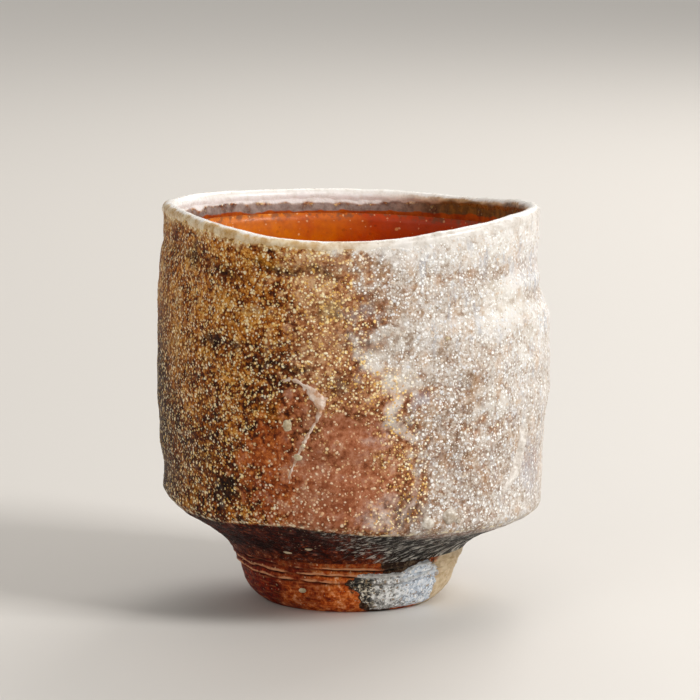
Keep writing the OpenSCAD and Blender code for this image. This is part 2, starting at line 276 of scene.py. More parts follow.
def spun(name, section, steps):
    """Draws a section point by point and spins it about the cup's axis"""
    clear_selection()
    section = np.asarray(section) * MM
    start = (section[0][0], 0, section[0][1])
    bpy.ops.mesh.primitive_plane_add(size=MM, location=start)
    piece = bpy.context.object
    piece.name = name
    bpy.ops.object.transform_apply(location=True)
    bpy.ops.object.mode_set(mode="EDIT")
    bpy.ops.mesh.select_all(action="SELECT")
    bpy.ops.mesh.merge(type="CENTER")
    for low, high in zip(section[:-1], section[1:]):
        step = (high[0] - low[0], 0, high[1] - low[1])
        bpy.ops.mesh.extrude_region_move(TRANSFORM_OT_translate={"value": step})
    bpy.ops.mesh.select_all(action="SELECT")
    bpy.ops.mesh.spin(steps=steps, angle=2 * math.pi, center=(0, 0, 0), axis=(0, 0, 1))
    bpy.ops.mesh.select_all(action="SELECT")
    bpy.ops.mesh.remove_doubles(threshold=WELD)
    bpy.ops.mesh.normals_make_consistent(inside=False)
    bpy.ops.object.mode_set(mode="OBJECT")
    return piece


def places(piece):
    flat = np.empty(len(piece.data.vertices) * 3)
    piece.data.vertices.foreach_get("co", flat)
    return flat.reshape(-1, 3)


def move_to(piece, points):
    piece.data.vertices.foreach_set("co", (points * MM).ravel())
    piece.data.update()


def read_section(piece, section):
    """Each vertex's row of the section, and its azimuth"""
    points = places(piece) / MM
    r = np.hypot(points[:, 0], points[:, 1])
    section = np.asarray(section)
    row = np.empty(len(points), int)
    for first in range(0, len(points), CHUNK):
        part = slice(first, first + CHUNK)
        gap = np.hypot(r[part, None] - section[None, :, 0], points[part, 2, None] - section[None, :, 1])
        row[part] = gap.argmin(axis=1)
    return row, np.degrees(np.arctan2(points[:, 1], points[:, 0]))


def outward(section):
    """Unit vectors square to a section, pointing out of the clay"""
    section = np.asarray(section)
    along = np.gradient(section, axis=0)
    square = np.stack([along[:, 1], -along[:, 0]], axis=1)
    return square / np.maximum(np.linalg.norm(square, axis=1, keepdims=True), 1e-9)


def lay_map(piece, name, row, azimuth, across, up):
    """A UV map: across turns each face's azimuths into u, up turns rows into v"""
    mesh = piece.data
    corner = np.empty(len(mesh.loops), int)
    mesh.loops.foreach_get("vertex_index", corner)
    counts = np.empty(len(mesh.polygons), int)
    mesh.polygons.foreach_get("loop_total", counts)
    face = np.repeat(np.arange(len(counts)), counts)
    turn = np.radians(azimuth[corner])
    on_axis = np.hypot(*(places(piece)[corner, :2].T)) < MM / 10
    weight = np.where(on_axis, 0.0, 1.0)
    middle = np.degrees(np.arctan2(np.bincount(face, np.sin(turn) * weight),
                                   np.bincount(face, np.cos(turn) * weight)))
    middle = middle % 360
    near = middle[face] + np.where(on_axis, 0, apart(azimuth[corner], middle[face]))
    mean_row = np.bincount(face, row[corner]) / counts
    uv = np.stack([across(near, middle[face], mean_row[face]), up(row[corner], middle[face], mean_row[face])],
                  axis=1)
    mesh.uv_layers.new(name=name).data.foreach_set("uv", uv.ravel())


def paint(piece, name, channels):
    """Four masks kept on the vertices as one colour attribute"""
    layer = piece.data.attributes.new(name, "FLOAT_COLOR", "POINT")
    stacked = np.stack([np.broadcast_to(c, len(piece.data.vertices)) for c in channels], axis=1)
    layer.data.foreach_set("color", stacked.astype(float).ravel())


# Where the fire coloured the wall. Azimuth, height, half width in degrees, half height, strength

TOAST = [(-99, 31, 24, 12, 1.0), (-114, 38, 9, 10, 0.85), (-90, 42, 10, 8, 0.9), (-105, 50, 8, 6, 0.7)]
DARK = [(-129, 29.5, 9, 5, 0.9), (-138, 37, 12, 8, 0.6), (-147, 77, 10, 3.4, 0.9), (-128, 76.5, 12, 1.6, 0.7),
        (-104, 78.6, 22, 1.9, 0.75), (-133, 61, 18, 1.8, 0.8), (-112, 57.8, 13, 1.5, 0.9),
        (-160, 52, 8, 20, 0.5), (-170, 68, 10, 8, 0.5), (-160, 33, 8, 8, 0.55), (-72, 28, 7, 5, 0.6),
        (-84, 78, 16, 1.6, 0.35), (178, 50, 24, 30, 0.55), (-60, 31, 6, 3, 0.35), (-80, 68, 12, 1.4, 0.3),
        (-120, 68, 10, 2.0, 0.4), (-93, 53.5, 6, 4, 0.5), (140, 40, 30, 20, 0.5), (150, 70, 20, 6, 0.5)]
OCHRE = [(-112, 79.5, 4.5, 2.6, 1.0), (-116, 47, 8, 4, 0.7), (-131, 70.5, 9, 4, 0.8),
         (-122, 65, 8, 4, 0.5), (-140, 57, 9, 4, 0.7),
         (-126, 54, 9, 4, 0.6), (-138, 48, 6, 4, 0.6), (-146, 25.5, 8, 3, 0.7), (-20, 45, 5, 5, 0.8),
         (-35, 63, 6, 4, 0.45), (-128, 41, 8, 5, 0.45), (-155, 60, 6, 12, 0.5), (-66, 60, 7, 3, 0.35),
         (-63.4, 23.8, 1.8, 2.2, 1.2), (-52, 48, 6, 4, 0.4), (-30, 54, 5, 6, 0.5), (120, 55, 18, 12, 0.5)]
CLOUD = [(-82, 60, 7, 6, 0.8), (-76, 54, 7, 6, 0.9), (-78, 47.5, 4, 3.5, 0.9), (-75.5, 44.5, 1.8, 2.4, 0.9),
         (-66, 73, 10, 5, 0.35), (-40, 68, 13, 7, 0.85), (-30, 60, 8, 7, 0.6), (-26, 42, 5, 7, 0.5),
         (-48, 58, 9, 3.5, 0.4), (-38, 80, 26, 3.5, 0.6), (20, 55, 22, 16, 0.6),
         (-80, 26, 9, 4.5, 0.65), (-71, 27.5, 7, 4, 0.4), (-79, 64, 11, 5, 0.6), (-71, 43, 6, 4, 0.5),
         (-45, 47, 7, 5, 0.6), (-70, 37, 5, 5, 0.4), (-81, 43, 5, 4, 0.35)]
VIOLET = [(-69.5, 50, 4.5, 2.6, 1.0), (-66, 71, 9, 3, 0.45), (-25, 33, 14, 7, 0.75), (-88, 69, 5, 4, 0.45),
          (-22, 75, 14, 6, 0.5), (-94, 71, 4, 3, 0.5), (10, 40, 20, 10, 0.5)]
MOSS = [(-98, 70, 7, 4.5, 0.8), (-78, 56, 3.5, 3, 0.5), (-66, 66, 4, 2, 0.3)]


def patches(table, a, z):
    total = np.zeros(np.broadcast(a, z).shape)
    for at, high, half_a, half_z, strength in table:
        away = np.hypot(apart(a, at) / half_a, (z - high) / half_z)
        total = np.maximum(total, strength * (1 - soft(away, 0.15, 1.5)))
    return np.clip(total, 0, 1)


# Clay body

BODY_STEPS = 420
UNDERSIDE_ROWS, KEEL_ROWS, WALL_ROWS, LIP_ROWS, BAND_ROWS, LINED_ROWS = 30, 8, 104, 13, 16, 5
BAND_OVERLAP = 1.5       # how far the bare band inside the lip runs on under the liner
rows_base = [(0, FOOT_H), (UNDERSIDE_R / 2, FOOT_H)]
keel_low = np.array([KEEL_R - 0.8 * KEEL_ROUND, KEEL_H - KEEL_ROUND])
keel_turn = np.array([KEEL_R, KEEL_H - KEEL_ROUND / 2])
keel_top = np.array([KEEL_R, KEEL_H])
well_top = np.array([well_r(CORNER_Z), CORNER_Z])
share = np.linspace(0, 1, UNDERSIDE_ROWS)[:-1]
rows_underside = [(mix(UNDERSIDE_R, keel_low[0], t), mix(FOOT_H, keel_low[1], t ** 0.75)) for t in share]
rows_keel = [tuple((1 - t) ** 2 * keel_low + 2 * t * (1 - t) * keel_turn + t * t * keel_top)
             for t in np.linspace(0, 1, KEEL_ROWS)[:-1]]
rows_wall = [(plain_r(z), z) for z in np.linspace(KEEL_H, LIP_Z, WALL_ROWS)[:-1]]
rows_lip = [(RIM_R - LIP_T / 2 * (1 - math.cos(t)), LIP_Z + LIP_T / 2 * math.sin(t))
            for t in np.linspace(0, math.pi, LIP_ROWS)[:-1]]
rows_band = [(well_r(z), z) for z in np.linspace(LIP_Z, LINER_EDGE_Z - BAND_OVERLAP, BAND_ROWS)]
rows_lined = [(well_r(z), z) for z in np.linspace(LINER_EDGE_Z - 6, CORNER_Z, LINED_ROWS)]
rows_corner = [(mix(FLOOR_R, well_top[0], 2 * t - t * t), mix(FLOOR_Z, CORNER_Z, t * t))
               for t in (0.75, 0.5, 0.25, 0)]
body_section = np.array(rows_base + rows_underside + rows_keel + rows_wall + rows_lip + rows_band
                        + rows_lined + rows_corner + [(0, FLOOR_Z)])
first_underside = len(rows_base)
first_keel = first_underside + len(rows_underside)
first_wall = first_keel + len(rows_keel)
first_lip = first_wall + len(rows_wall)
first_band = first_lip + len(rows_lip)
first_lined = first_band + len(rows_band)
body_normal = outward(body_section)
body_length = np.concatenate([[0], np.cumsum(np.hypot(*np.diff(body_section, axis=0).T))])


def underside_relief(a, where):
    """Trimming marks that run slantwise under the keel"""
    slant = where.copy()
    slant[:, 2] = slant[:, 2] * 3 + np.radians(a) * 30
    return 0.12 * grain(slant, 3.2, 3, 2.0) + 0.25 * grain(where, 9, 2, 4.0)


def body_rise(row, a):
    """How far each vertex of the clay body moves out of its section"""
    r, z = body_section[row].T
    where = place(r, z, a)
    rise = np.zeros(len(row))
    outer = (row >= first_keel) & (row < first_lip)
    rise[outer] = relief(a[outer], z[outer])
    under = (row >= first_underside) & (row < first_keel)
    fade = soft(row[under], first_underside, first_underside + 4)
    rise[under] = fade * underside_relief(a[under], where[under])
    to_keel = soft(row[under], first_keel - 9, first_keel)
    rise[under] = mix(rise[under], relief(a[under], z[under]), to_keel)
    rim = (row >= first_lip) & (row < first_lined)
    rim_fade = 1 - 0.75 * soft(row[rim], first_lip, first_band)
    rim_fade = rim_fade * (1 - soft(row[rim], first_lined - 6, first_lined))
    rise[rim] = rim_fade * relief(a[rim], np.minimum(z[rim], LIP_Z))
    return rise


def body_places(row, a, extra=0.0):
    r, z = body_section[row].T
    rise = body_rise(row, a) + extra
    return place(r + rise * body_normal[row, 0], z + rise * body_normal[row, 1], a)


def dusk(a):
    """How much painted shade the inside of the lip gets, most on the side away from the light"""
    return 1 - soft(np.abs(apart(a, SHADED_LIP_SIDE)), 40, 75)


def body_masks(piece, row, a):
    r, z = body_section[row].T
    where = place(r, z, a)
    drift = 5 * grain(where, 9, 3, 21.0)
    lift = 2.2 * grain(where, 7, 3, 31.0)
    a_warp, z_warp = a + drift, z + lift
    outer = ((row >= first_wall - 4) & (row < first_band)).astype(float)
    under = ((row >= first_underside) & (row < first_wall - 4)).astype(float)
    inside = (row >= first_band).astype(float)
    # Darker towards the left: partly the clay's own colour, partly painted shade on the side away from the
    # light
    leftwards = -apart(a, LEFT_SIDE)
    left = 0.36 * soft(leftwards, 14, 50) + 0.5 * soft(leftwards, 44, 74)
    left = left * (1 - soft(leftwards, 150, 190)) * (1 - 0.5 * soft(z, 40, 75))
    # Where the wall sinks between ridges and in grooves: the ash thins there, and painted shade darkens the
    # clay there
    valley = soft(-throwing_ridges(a, z) - wall_marks(a, z) + 0.25 * grain(where, 6, 3, 23.0), 0.1, 0.65)
    ash = crust(a_warp, z_warp) * (1 - 0.34 * valley)
    toast = patches(TOAST, a_warp, z_warp)
    # The fire's dark places, with the painted shade towards the left and in the grooves
    dark = np.maximum(np.maximum(patches(DARK, a_warp, z_warp), left), 0.5 * valley * (1 - toast))
    deep = PALE_LIP_H + PALE_LIP_MORE * soft(apart(a, FIRE_SIDE), -84, -36)
    cream = soft(z, LIP_Z - deep + 1.6 * grain(where, 4, 3, 41.0), LIP_Z + 0.4)
    depth = CUP_H - z
    # Painted shade inside the lip on the side away from the light: it darkens the rings there and lifts their
    # edges
    dusky = dusk(a)
    down = depth + lift * 0.4 + SHADE_RISE * dusky
    cream_ring = inside * (1 - soft(down, *CREAM_ENDS))
    brown_ring = inside * soft(down, *BROWN_STARTS)
    keel_line = bell(z - KEEL_H + 1.9, 0.32) * (outer + under)
    under = under * (1 - soft(ash, 0.3, 0.6) * soft(row, first_keel - 5, first_wall - 4))
    charcoal = under * soft(apart(a_warp, -90) + 1.6 * (z - 16), -8, 24) * (1 - soft(apart(a, -90), 110, 150))
    ochre = patches(OCHRE, a_warp, z_warp)
    # The third mask holds the fire's dark places and painted shade, towards the left and in the grooves
    paint(piece, "fire", [ash * (1 - inside), toast * outer, dark * outer, ochre * outer])
    paint(piece, "marks", [cream * outer, patches(CLOUD, a_warp, z_warp) * outer,
                           patches(VIOLET, a_warp, z_warp) * outer, patches(MOSS, a_warp, z_warp) * outer])
    paint(piece, "edges", [cream_ring, brown_ring, keel_line, under])
    red_ring = inside * soft(depth + lift * 0.25 + 0.5 * dusky, *RED_STARTS)
    # Soot under the keel, painted shade inside the lip, the red ring, and the underside clear of the foot
    paint(piece, "soot", [charcoal, inside * dusky, red_ring, soft(r, 26, 29) * under])


BAKE_MARGIN = 0.004
# Rows of the bake map, each as first row, last row, its number of stacked strips and their height
BAKE_BANDS = [(0, first_underside, 1, 0.012), (first_underside, first_keel, 2, 0.092),
              (first_keel, first_lip, 2, 0.352), (first_lip, first_lined, 1, 0.058),
              (first_lined, len(body_section) - 1, 1, 0.02)]


def bake_band(mean_row):
    """The number of the band that each row lies in"""
    band = np.zeros(len(mean_row), int)
    for number, (first, _, _, _) in enumerate(BAKE_BANDS):
        band[mean_row > first] = number
    return band


def bake_across(near, middle, mean_row):
    """Azimuths as u, with each strip spread over the map's width"""
    strips = np.array([b[2] for b in BAKE_BANDS])[bake_band(mean_row)]
    span = 360 / strips
    return BAKE_MARGIN + (1 - 2 * BAKE_MARGIN) * (near - span * np.floor(middle / span)) / span


def bake_up(row, middle, mean_row):
    """Rows as v, by their length along the section, with the strips stacked upwards"""
    band = bake_band(mean_row)
    firsts, lasts, strips, heights = (np.array([b[k] for b in BAKE_BANDS]) for k in range(4))
    tall = heights + BAKE_MARGIN * 2
    floors = np.concatenate([[0], np.cumsum(tall * strips)])[:-1]
    strip = np.floor(middle / (360 / strips[band]))
    low, high = body_length[firsts[band]], body_length[lasts[band]]
    part = np.clip((body_length[row] - low) / (high - low), 0, 1)
    return floors[band] + tall[band] * strip + BAKE_MARGIN + heights[band] * part


body = spun("clay_body_fired", body_section, BODY_STEPS)
body_row, body_turn = read_section(body, body_section)
lay_map(body, "OFBake", body_row, body_turn, bake_across, bake_up)
body_masks(body, body_row, body_turn)
move_to(body, body_places(body_row, body_turn))
settle(body, ["clay_body"])


# Lip glaze, which thins away over an uneven edge

LIP_DOWN_ROWS = 2        # rows of the body's section that the glaze covers below the lip, outside and in
LIP_IN_ROWS = 5
ROOT = 0.4               # how far glazes and marks reach into the clay
lip_rows = np.arange(first_lip - LIP_DOWN_ROWS, first_band + LIP_IN_ROWS)
lip_front = body_section[lip_rows]
lip_back = lip_front - ROOT * body_normal[lip_rows]
lip_section = np.concatenate([lip_front, lip_back[::-1], lip_front[:1]])
lip_glaze = spun("lip_glaze_run", lip_section, BODY_STEPS)
lip_row, lip_turn = read_section(lip_glaze, lip_section[:-1])
lip_at_back = lip_row >= len(lip_rows)
lip_body_row = lip_rows[np.where(lip_at_back, 2 * len(lip_rows) - 1 - lip_row, lip_row)]
lip_where = place(*body_section[lip_body_row].T, lip_turn)
from_edge = np.minimum(lip_body_row - lip_rows[0], lip_rows[-1] - lip_body_row)
uneven = 1.2 + 1.4 * grain(lip_where, 5, 3, 51.0)
lip_thick = LIP_GLAZE_T * (soft(from_edge, uneven - 1, uneven + 4) * 1.1 - 0.3)
lip_extra = np.where(lip_at_back, -ROOT, lip_thick + 0.04 * grain(lip_where, 2.2, 2, 8.0))
lip_tone = soft(from_edge, uneven + 3.5, uneven + 6.5)
lip_inner = soft(lip_body_row, first_lip + 6, first_lip + 9)
lip_fire = soft(apart(lip_turn, FIRE_SIDE), -90, -50) * (1 - lip_inner)
# Painted shade inside the lip, as on the clay body, which also lifts the brown ring there
lip_shaded = lip_inner * dusk(lip_turn)
lip_depth = CUP_H - body_section[lip_body_row, 1] + 0.88 * grain(lip_where, 7, 3, 31.0)
lip_brown = lip_inner * soft(lip_depth + SHADE_RISE * dusk(lip_turn), *BROWN_STARTS)
paint(lip_glaze, "lip", [lip_tone, lip_fire, lip_inner, lip_shaded])
paint(lip_glaze, "lip_brown", [lip_brown, 0.0, 0.0, 1.0])
move_to(lip_glaze, body_places(lip_body_row, lip_turn, lip_extra))
settle(lip_glaze, ["lip_glaze"])


# Liner glaze

LINER_STEPS = 240
liner_under = ([(0, FLOOR_Z), (FLOOR_R / 2, FLOOR_Z)]
               + [(mix(FLOOR_R, well_top[0], 2 * t - t * t), mix(FLOOR_Z, CORNER_Z, t * t))
                  for t in np.linspace(0, 1, 16)[:-1]]
               + [(well_r(z), z) for z in np.linspace(CORNER_Z, LINER_EDGE_Z, 26)])
liner_under = np.array(liner_under)
liner_over = liner_under - LINER_T * outward(liner_under)
liner_section = np.concatenate([liner_under, liner_over[::-1]])
liner_section[-1][0] = 0
liner = spun("liner_glaze_pool", liner_section, LINER_STEPS)
liner_row, liner_turn = read_section(liner, liner_section)
liner_r, liner_z = liner_section[liner_row].T
is_over = liner_row >= len(liner_under)
liner_where = place(liner_r, liner_z, liner_turn)
liner_edge = soft(liner_z, LINER_EDGE_Z - 5, LINER_EDGE_Z)
wave = 0.16 * grain(liner_where, 14, 2, 61.0) + 0.05 * grain(liner_where, 4, 2, 71.0)
thin = liner_edge * (LINER_T * 0.75 + 0.2 * grain(liner_where, 5, 2, 81.0))
inward = np.where(is_over, thin - np.abs(wave), 0.0)
liner_r = np.where(liner_r > 1, liner_r + inward * soft(liner_z, FLOOR_Z + 2, FLOOR_Z + 8), liner_r)
paint(liner, "pool", [liner_edge, soft(liner_z, FLOOR_Z, CORNER_Z), 0.0, 1.0])
move_to(liner, place(liner_r, liner_z, liner_turn))
settle(liner, ["liner_glaze"])


# Foot ring with turning grooves, a chipped lower edge and a recess

FOOT_STEPS = 300


def foot_r(z):
    share = np.clip((z - FOOT_EDGE_H) / (FOOT_H - FOOT_EDGE_H), 0, 1)
    return mix(FOOT_LOW_R, FOOT_TOP_R, share ** 1.2)


def foot_line(a, number):
    """Height of one of the scored lines, which climb towards the back because the foot was trimmed askew"""
    return LINES_LOW + LINES_APART * number - LINES_TILT * np.cos(np.radians(a - LINES_TILT_AT))


def foot_lines(a, z):
    """The torn crests and the cuts of the scored lines"""
    where = np.stack([23 * np.cos(np.radians(a)), 23 * np.sin(np.radians(a)), z], axis=-1)
    torn = np.clip(0.75 + 0.9 * grain(where, 4.0, 3, 12.0), 0, 1.3)
    wavy = z + 0.34 * grain(where, 6.0, 2, 19.0) + 0.14 * grain(where, 1.6, 2, 20.0)
    crests, cuts = 0, 0
    for number in range(LINES):
        off = wavy - foot_line(a, number)
        crests = crests + torn * bell(off - 0.5, 0.34)
        cuts = cuts + torn * bell(off, 0.24)
    fades = soft(FOOT_H - z, 0.2, 1.0)
    return crests * fades, cuts * fades


def foot_relief(a, z, r):
    """Scored lines, slow waves and a ragged lower edge"""
    where = np.stack([r * np.cos(np.radians(a)), r * np.sin(np.radians(a)), z], axis=-1)
    crests, cuts = foot_lines(a, z)
    rings = 0.16 * grain(where * [0.3, 0.3, 2.0], 3.0, 3, 17.0) * soft(z, 4.5, 7)
    waves = 0.2 * grain(where, 9, 2, 13.0) + 0.07 * grain(where, 2, 3, 14.0)
    chips = -0.45 * soft(grain(where, 3.4, 2, 15.0), 0.15, 0.7) * bell(z - 0.8, 1.4)
    shaped = waves + rings + 0.3 * crests - 0.42 * cuts
    return shaped * soft(FOOT_H - z, 0, 0.8) * soft(z, 0, 0.5) + chips * soft(z, 0, 0.3)


def ash_left_edge(z):
    """Azimuth of the ash glaze's left edge, which leans towards the right as it comes down"""
    return FOOT_ASH_LEFT + 15 * np.clip(1 - z / 8.5, 0, 1) ** 1.8 + 6 * soft(z, 7.0, 9.2)


def foot_edge(t):
    bend_r, bend_z = mix(FOOT_FACE_R, FOOT_LOW_R, FOOT_EDGE_BEND[0]), FOOT_EDGE_BEND[1] * FOOT_EDGE_H
    return ((1 - t) ** 2 * FOOT_FACE_R + 2 * t * (1 - t) * bend_r + t * t * FOOT_LOW_R,
            2 * t * (1 - t) * bend_z + t * t * FOOT_EDGE_H)


foot_section = np.array(
    [(0, RECESS_D - CONE_H), (CONE_R / 2, RECESS_D - CONE_H / 2), (CONE_R, RECESS_D)]
    + [(r, RECESS_D) for r in np.linspace(CONE_R, 0.75 * RECESS_R, 6)[1:]]
    + [(0.85 * RECESS_R, 0.94 * RECESS_D), (0.92 * RECESS_R, 0.8 * RECESS_D),
       (0.95 * RECESS_R, 0.5 * RECESS_D), (0.975 * RECESS_R, 0.2 * RECESS_D)]
    + [(r, 0) for r in np.linspace(RECESS_R, FOOT_FACE_R, 6)[:-1]]
    + [foot_edge(t) for t in np.linspace(0, 1, 9)[:-1]]
    + [(float(foot_r(z)), z) for z in np.linspace(FOOT_EDGE_H, FOOT_H, 64)]
    + [(FOOT_TOP_R / 2, FOOT_H), (0, FOOT_H)])
foot = spun("foot_ring_turned", foot_section, FOOT_STEPS)
foot_row, foot_turn = read_section(foot, foot_section)
foot_rad, foot_z = foot_section[foot_row].T
on_side = (foot_rad > FOOT_FACE_R) & (foot_z > 0) & (foot_z < FOOT_H)
foot_rad = foot_rad + np.where(on_side, foot_relief(foot_turn, foot_z, foot_rad), 0)
foot_where = place(foot_rad, foot_z, foot_turn)
foot_drift = foot_turn + 4.5 * grain(foot_where, 3, 3, 16.0)
tan_side = soft(apart(foot_drift, -45), 0, 8) * (1 - soft(apart(foot_drift, -45), 70, 110))
patch_edge = apart(foot_drift, ash_left_edge(foot_z))
beside = soft(patch_edge, -4, 1) * (1 - soft(patch_edge, 8, 16)) * (1 - soft(foot_z, 8.4, 9.8))
above = soft(apart(foot_drift, -84), 0, 18) * (1 - soft(apart(foot_drift, -52), 0, 12))
above = above * soft(foot_z, 7.6, 9.2)
hollow = (foot_rad < RECESS_R + 0.5).astype(float)
crests, cuts = foot_lines(foot_turn, foot_z)
paint(foot, "clay", [tan_side, np.maximum(beside, above), hollow, soft(foot_z, 8, 11.5)])
paint(foot, "lines", [crests * on_side, cuts * on_side, 0.0, 1.0])
move_to(foot, foot_where)
settle(foot, ["foot_ring"])


# Marks that lie on a surface: a fine grid is laid on it, raised, trimmed and given a root

def laid_mark(name, azimuths, heights, grid, rise, surface_r, nodes, slot):
    """rise(a, z) is the mark's height in millimetres, below zero outside its outline"""
    clear_selection()
    bpy.ops.mesh.primitive_grid_add(x_subdivisions=grid[0], y_subdivisions=grid[1], size=1)
    piece = bpy.context.object
    piece.name = name
    flat = places(piece)
    a = mix(azimuths[0], azimuths[1], flat[:, 0] + 0.5)
    z = mix(heights[0], heights[1], flat[:, 1] + 0.5)
    high = rise(a, z)
    move_to(piece, place(surface_r(a, z) + np.maximum(high, -ROOT), z, a))
    piece.data.polygons.foreach_set("select", [False] * len(piece.data.polygons))
    piece.data.edges.foreach_set("select", [False] * len(piece.data.edges))
    piece.data.vertices.foreach_set("select", high < -0.6 * ROOT)
    bpy.ops.object.mode_set(mode="EDIT")
    bpy.ops.mesh.select_mode(type="VERT")
    bpy.ops.mesh.delete(type="VERT")
    bpy.ops.object.mode_set(mode="OBJECT")
    mark_root = piece.modifiers.new("root", "SOLIDIFY")
    mark_root.thickness = ROOT * MM
    mark_root.offset = -1
    bpy.ops.object.modifier_apply(modifier="root")
    settle(piece, nodes)
    return piece


def wall_surface(a, z):
    return plain_r(z) + relief(a, z)


def along_path(path, a, z):
    """Signed distance across a path and the path's width and rise at the nearest place"""
    path = np.asarray(path, float)
    best = np.full(a.shape, 1e9)
    side, width, rise, done = (np.zeros(a.shape) for _ in range(4))
    for k, (low, high) in enumerate(zip(path[:-1], path[1:])):
        start = np.array([low[0] * DEGREE, low[1]])
        step = np.array([(high[0] - low[0]) * DEGREE, high[1] - low[1]])
        away = np.stack([a * DEGREE - start[0], z - start[1]], axis=-1)
        t = np.clip(away @ step / (step @ step), 0, 1)
        gap = away - t[:, None] * step
        distance = np.hypot(*gap.T)
        sign = np.sign(step[0] * away[:, 1] - step[1] * away[:, 0])
        closer = distance < best
        best = np.where(closer, distance, best)
        side = np.where(closer, distance * sign, side)
        width = np.where(closer, mix(low[2], high[2], t), width)
        rise = np.where(closer, mix(low[3], high[3], t), rise)
        done = np.where(closer, k + t, done)
    return side, width, rise, done


# Azimuth, height, width and rise along the torn flap of clay and along the ash run, from the top down
FLAP_PATH = [(-109.5, 54.6, 0.5, 0.14), (-107.0, 55.0, 0.6, 0.2), (-104.6, 54.3, 0.7, 0.22),
             (-102.6, 53.5, 0.8, 0.28), (-100.8, 52.4, 1.6, 0.42), (-98.9, 50.8, 2.2, 0.5),
             (-98.5, 49.0, 1.2, 0.45), (-99.2, 46.8, 0.6, 0.4), (-100.6, 45.0, 0.4, 0.3),
             (-102.1, 43.1, 0.4, 0.3), (-103.2, 41.4, 0.6, 0.34), (-104.6, 39.4, 0.45, 0.28),
             (-106.0, 37.0, 0.35, 0.24), (-107.2, 34.6, 0.45, 0.24), (-107.6, 32.2, 0.4, 0.12)]
RUN_PATH = [(-31.0, 41.0, 1.0, 0.3), (-30.2, 38.4, 2.4, 0.6), (-30.6, 35.5, 2.9, 0.75),
            (-32.4, 32.8, 2.6, 0.65), (-35.4, 30.6, 1.7, 0.5), (-39.0, 28.6, 0.8, 0.3)]


def flap_rise(a, z):
    side, width, rise, done = along_path(FLAP_PATH, a, z)
    where = place(plain_r(z), z, a)
    ragged = 0.3 * grain(where, 1.6, 3, 91.0)
    threadlike = 1 - soft(width, 0.8, 1.6)
    beads = 1 + threadlike * (0.2 * np.sin(done * 9.0) + 0.8 * grain(where, 1.1, 2, 98.0))
    u = side / np.maximum(width * beads, 0.1) + ragged
    sheet = soft(u, -0.62, -0.42) * (1 - soft(u, 0.1, 0.75))
    thread = bell(u, 0.45)
    crest = mix(sheet, thread, threadlike)
    outside = soft(np.abs(u), 0.6, 1.1)
    return 0.62 * rise * crest * beads - 0.02 + 0.02 * grain(where, 0.8, 2, 92.0) * crest - ROOT * outside


def run_rise(a, z):
    side, width, rise, _ = along_path(RUN_PATH, a, z)
    where = place(plain_r(z), z, a)
    u = side / np.maximum(width, 0.1) + 0.12 * grain(where, 2.0, 3, 93.0)
    outside = soft(np.abs(u), 0.5, 1.1)
    return rise * np.exp(-(u / 0.42) ** 2) - 0.02 + 0.04 * grain(where, 1.0, 2, 94.0) - ROOT * outside


# Azimuths, heights and grid of the window that each mark is drawn in
FLAP_WINDOW = ((-111.5, -93.5), (27.2, 57.2), (110, 240))
RUN_WINDOW = ((-42, -26.5), (27, 43), (90, 120))
FOOT_ASH_WINDOW = ((-98, -26), (0.3, 11.9), (260, 96))

flap = laid_mark("clay_flap_torn", *FLAP_WINDOW, flap_rise, wall_surface, ["clay_flap"], "torn_clay")
run = laid_mark("ash_run_crust", *RUN_WINDOW, run_rise, wall_surface, ["ash_run"], "ash_crust")

FOOT_ASH_TOP, FOOT_ASH_LOW = 9.3, 0.5
FOOT_ASH_BULGE, FOOT_ASH_BULGE_AT = 1.9, -51.0
FOOT_ASH_T = 0.5
FOOT_DEGREE = DEGREE / 1.8      # millimetres to a degree round the foot


def foot_surface(a, z):
    z = np.asarray(z)
    edge_r = np.interp(z, [foot_edge(t)[1] for t in np.linspace(0, 1, 12)],
                       [foot_edge(t)[0] for t in np.linspace(0, 1, 12)])
    r = np.where(z < FOOT_EDGE_H, edge_r, foot_r(z))
    return r + foot_relief(a, z, r)


def foot_ash_top(a, ragged):
    """Height of the glaze's upper edge, with a bulge on the right"""
    bulge = FOOT_ASH_BULGE * bell(apart(a, FOOT_ASH_BULGE_AT), 7)
    return FOOT_ASH_TOP + bulge + 0.035 * np.maximum(apart(a, -62), 0) + 0.4 * ragged


def foot_ash_bead(a, z, ragged):
    """The raised upper edge, cracked once, and a second edge below it on the right"""
    crack = 1 - bell(apart(a, FOOT_ASH_BULGE_AT - 9), 1.3)
    first = bell(foot_ash_top(a, ragged) - 0.45 - z, 0.38) * crack
    second = bell(z - 7.6 - 0.05 * apart(a, -60), 0.34) * soft(apart(a, -64), 0, 4)
    return first + 0.8 * second


def foot_ash_rise(a, z):
    where = place(foot_r(z), z, a)
    ragged = grain(where, 3.0, 3, 95.0)
    left = apart(a, ash_left_edge(z)) * FOOT_DEGREE + 1.3 * ragged
    right = apart(FOOT_ASH_RIGHT - (z - 5) * 0.6, a) * FOOT_DEGREE + 1.2 * ragged
    top = foot_ash_top(a, ragged) - z
    low = z - FOOT_ASH_LOW + 0.15 * ragged
    inside = np.minimum(np.minimum(left, right), np.minimum(top, low))
    thick = FOOT_ASH_T * (0.35 + 0.65 * soft(apart(a, FOOT_ASH_LEFT), 8, 26))
    body_t = thick * (soft(inside, -0.5, 0.9) * 1.5 - 0.5)
    bead = 0.34 * foot_ash_bead(a, z, ragged) * soft(inside, -0.2, 0.5)
    return body_t + bead + 0.1 * grain(where, 1.2, 3, 96.0) * soft(inside, -0.3, 0.5)


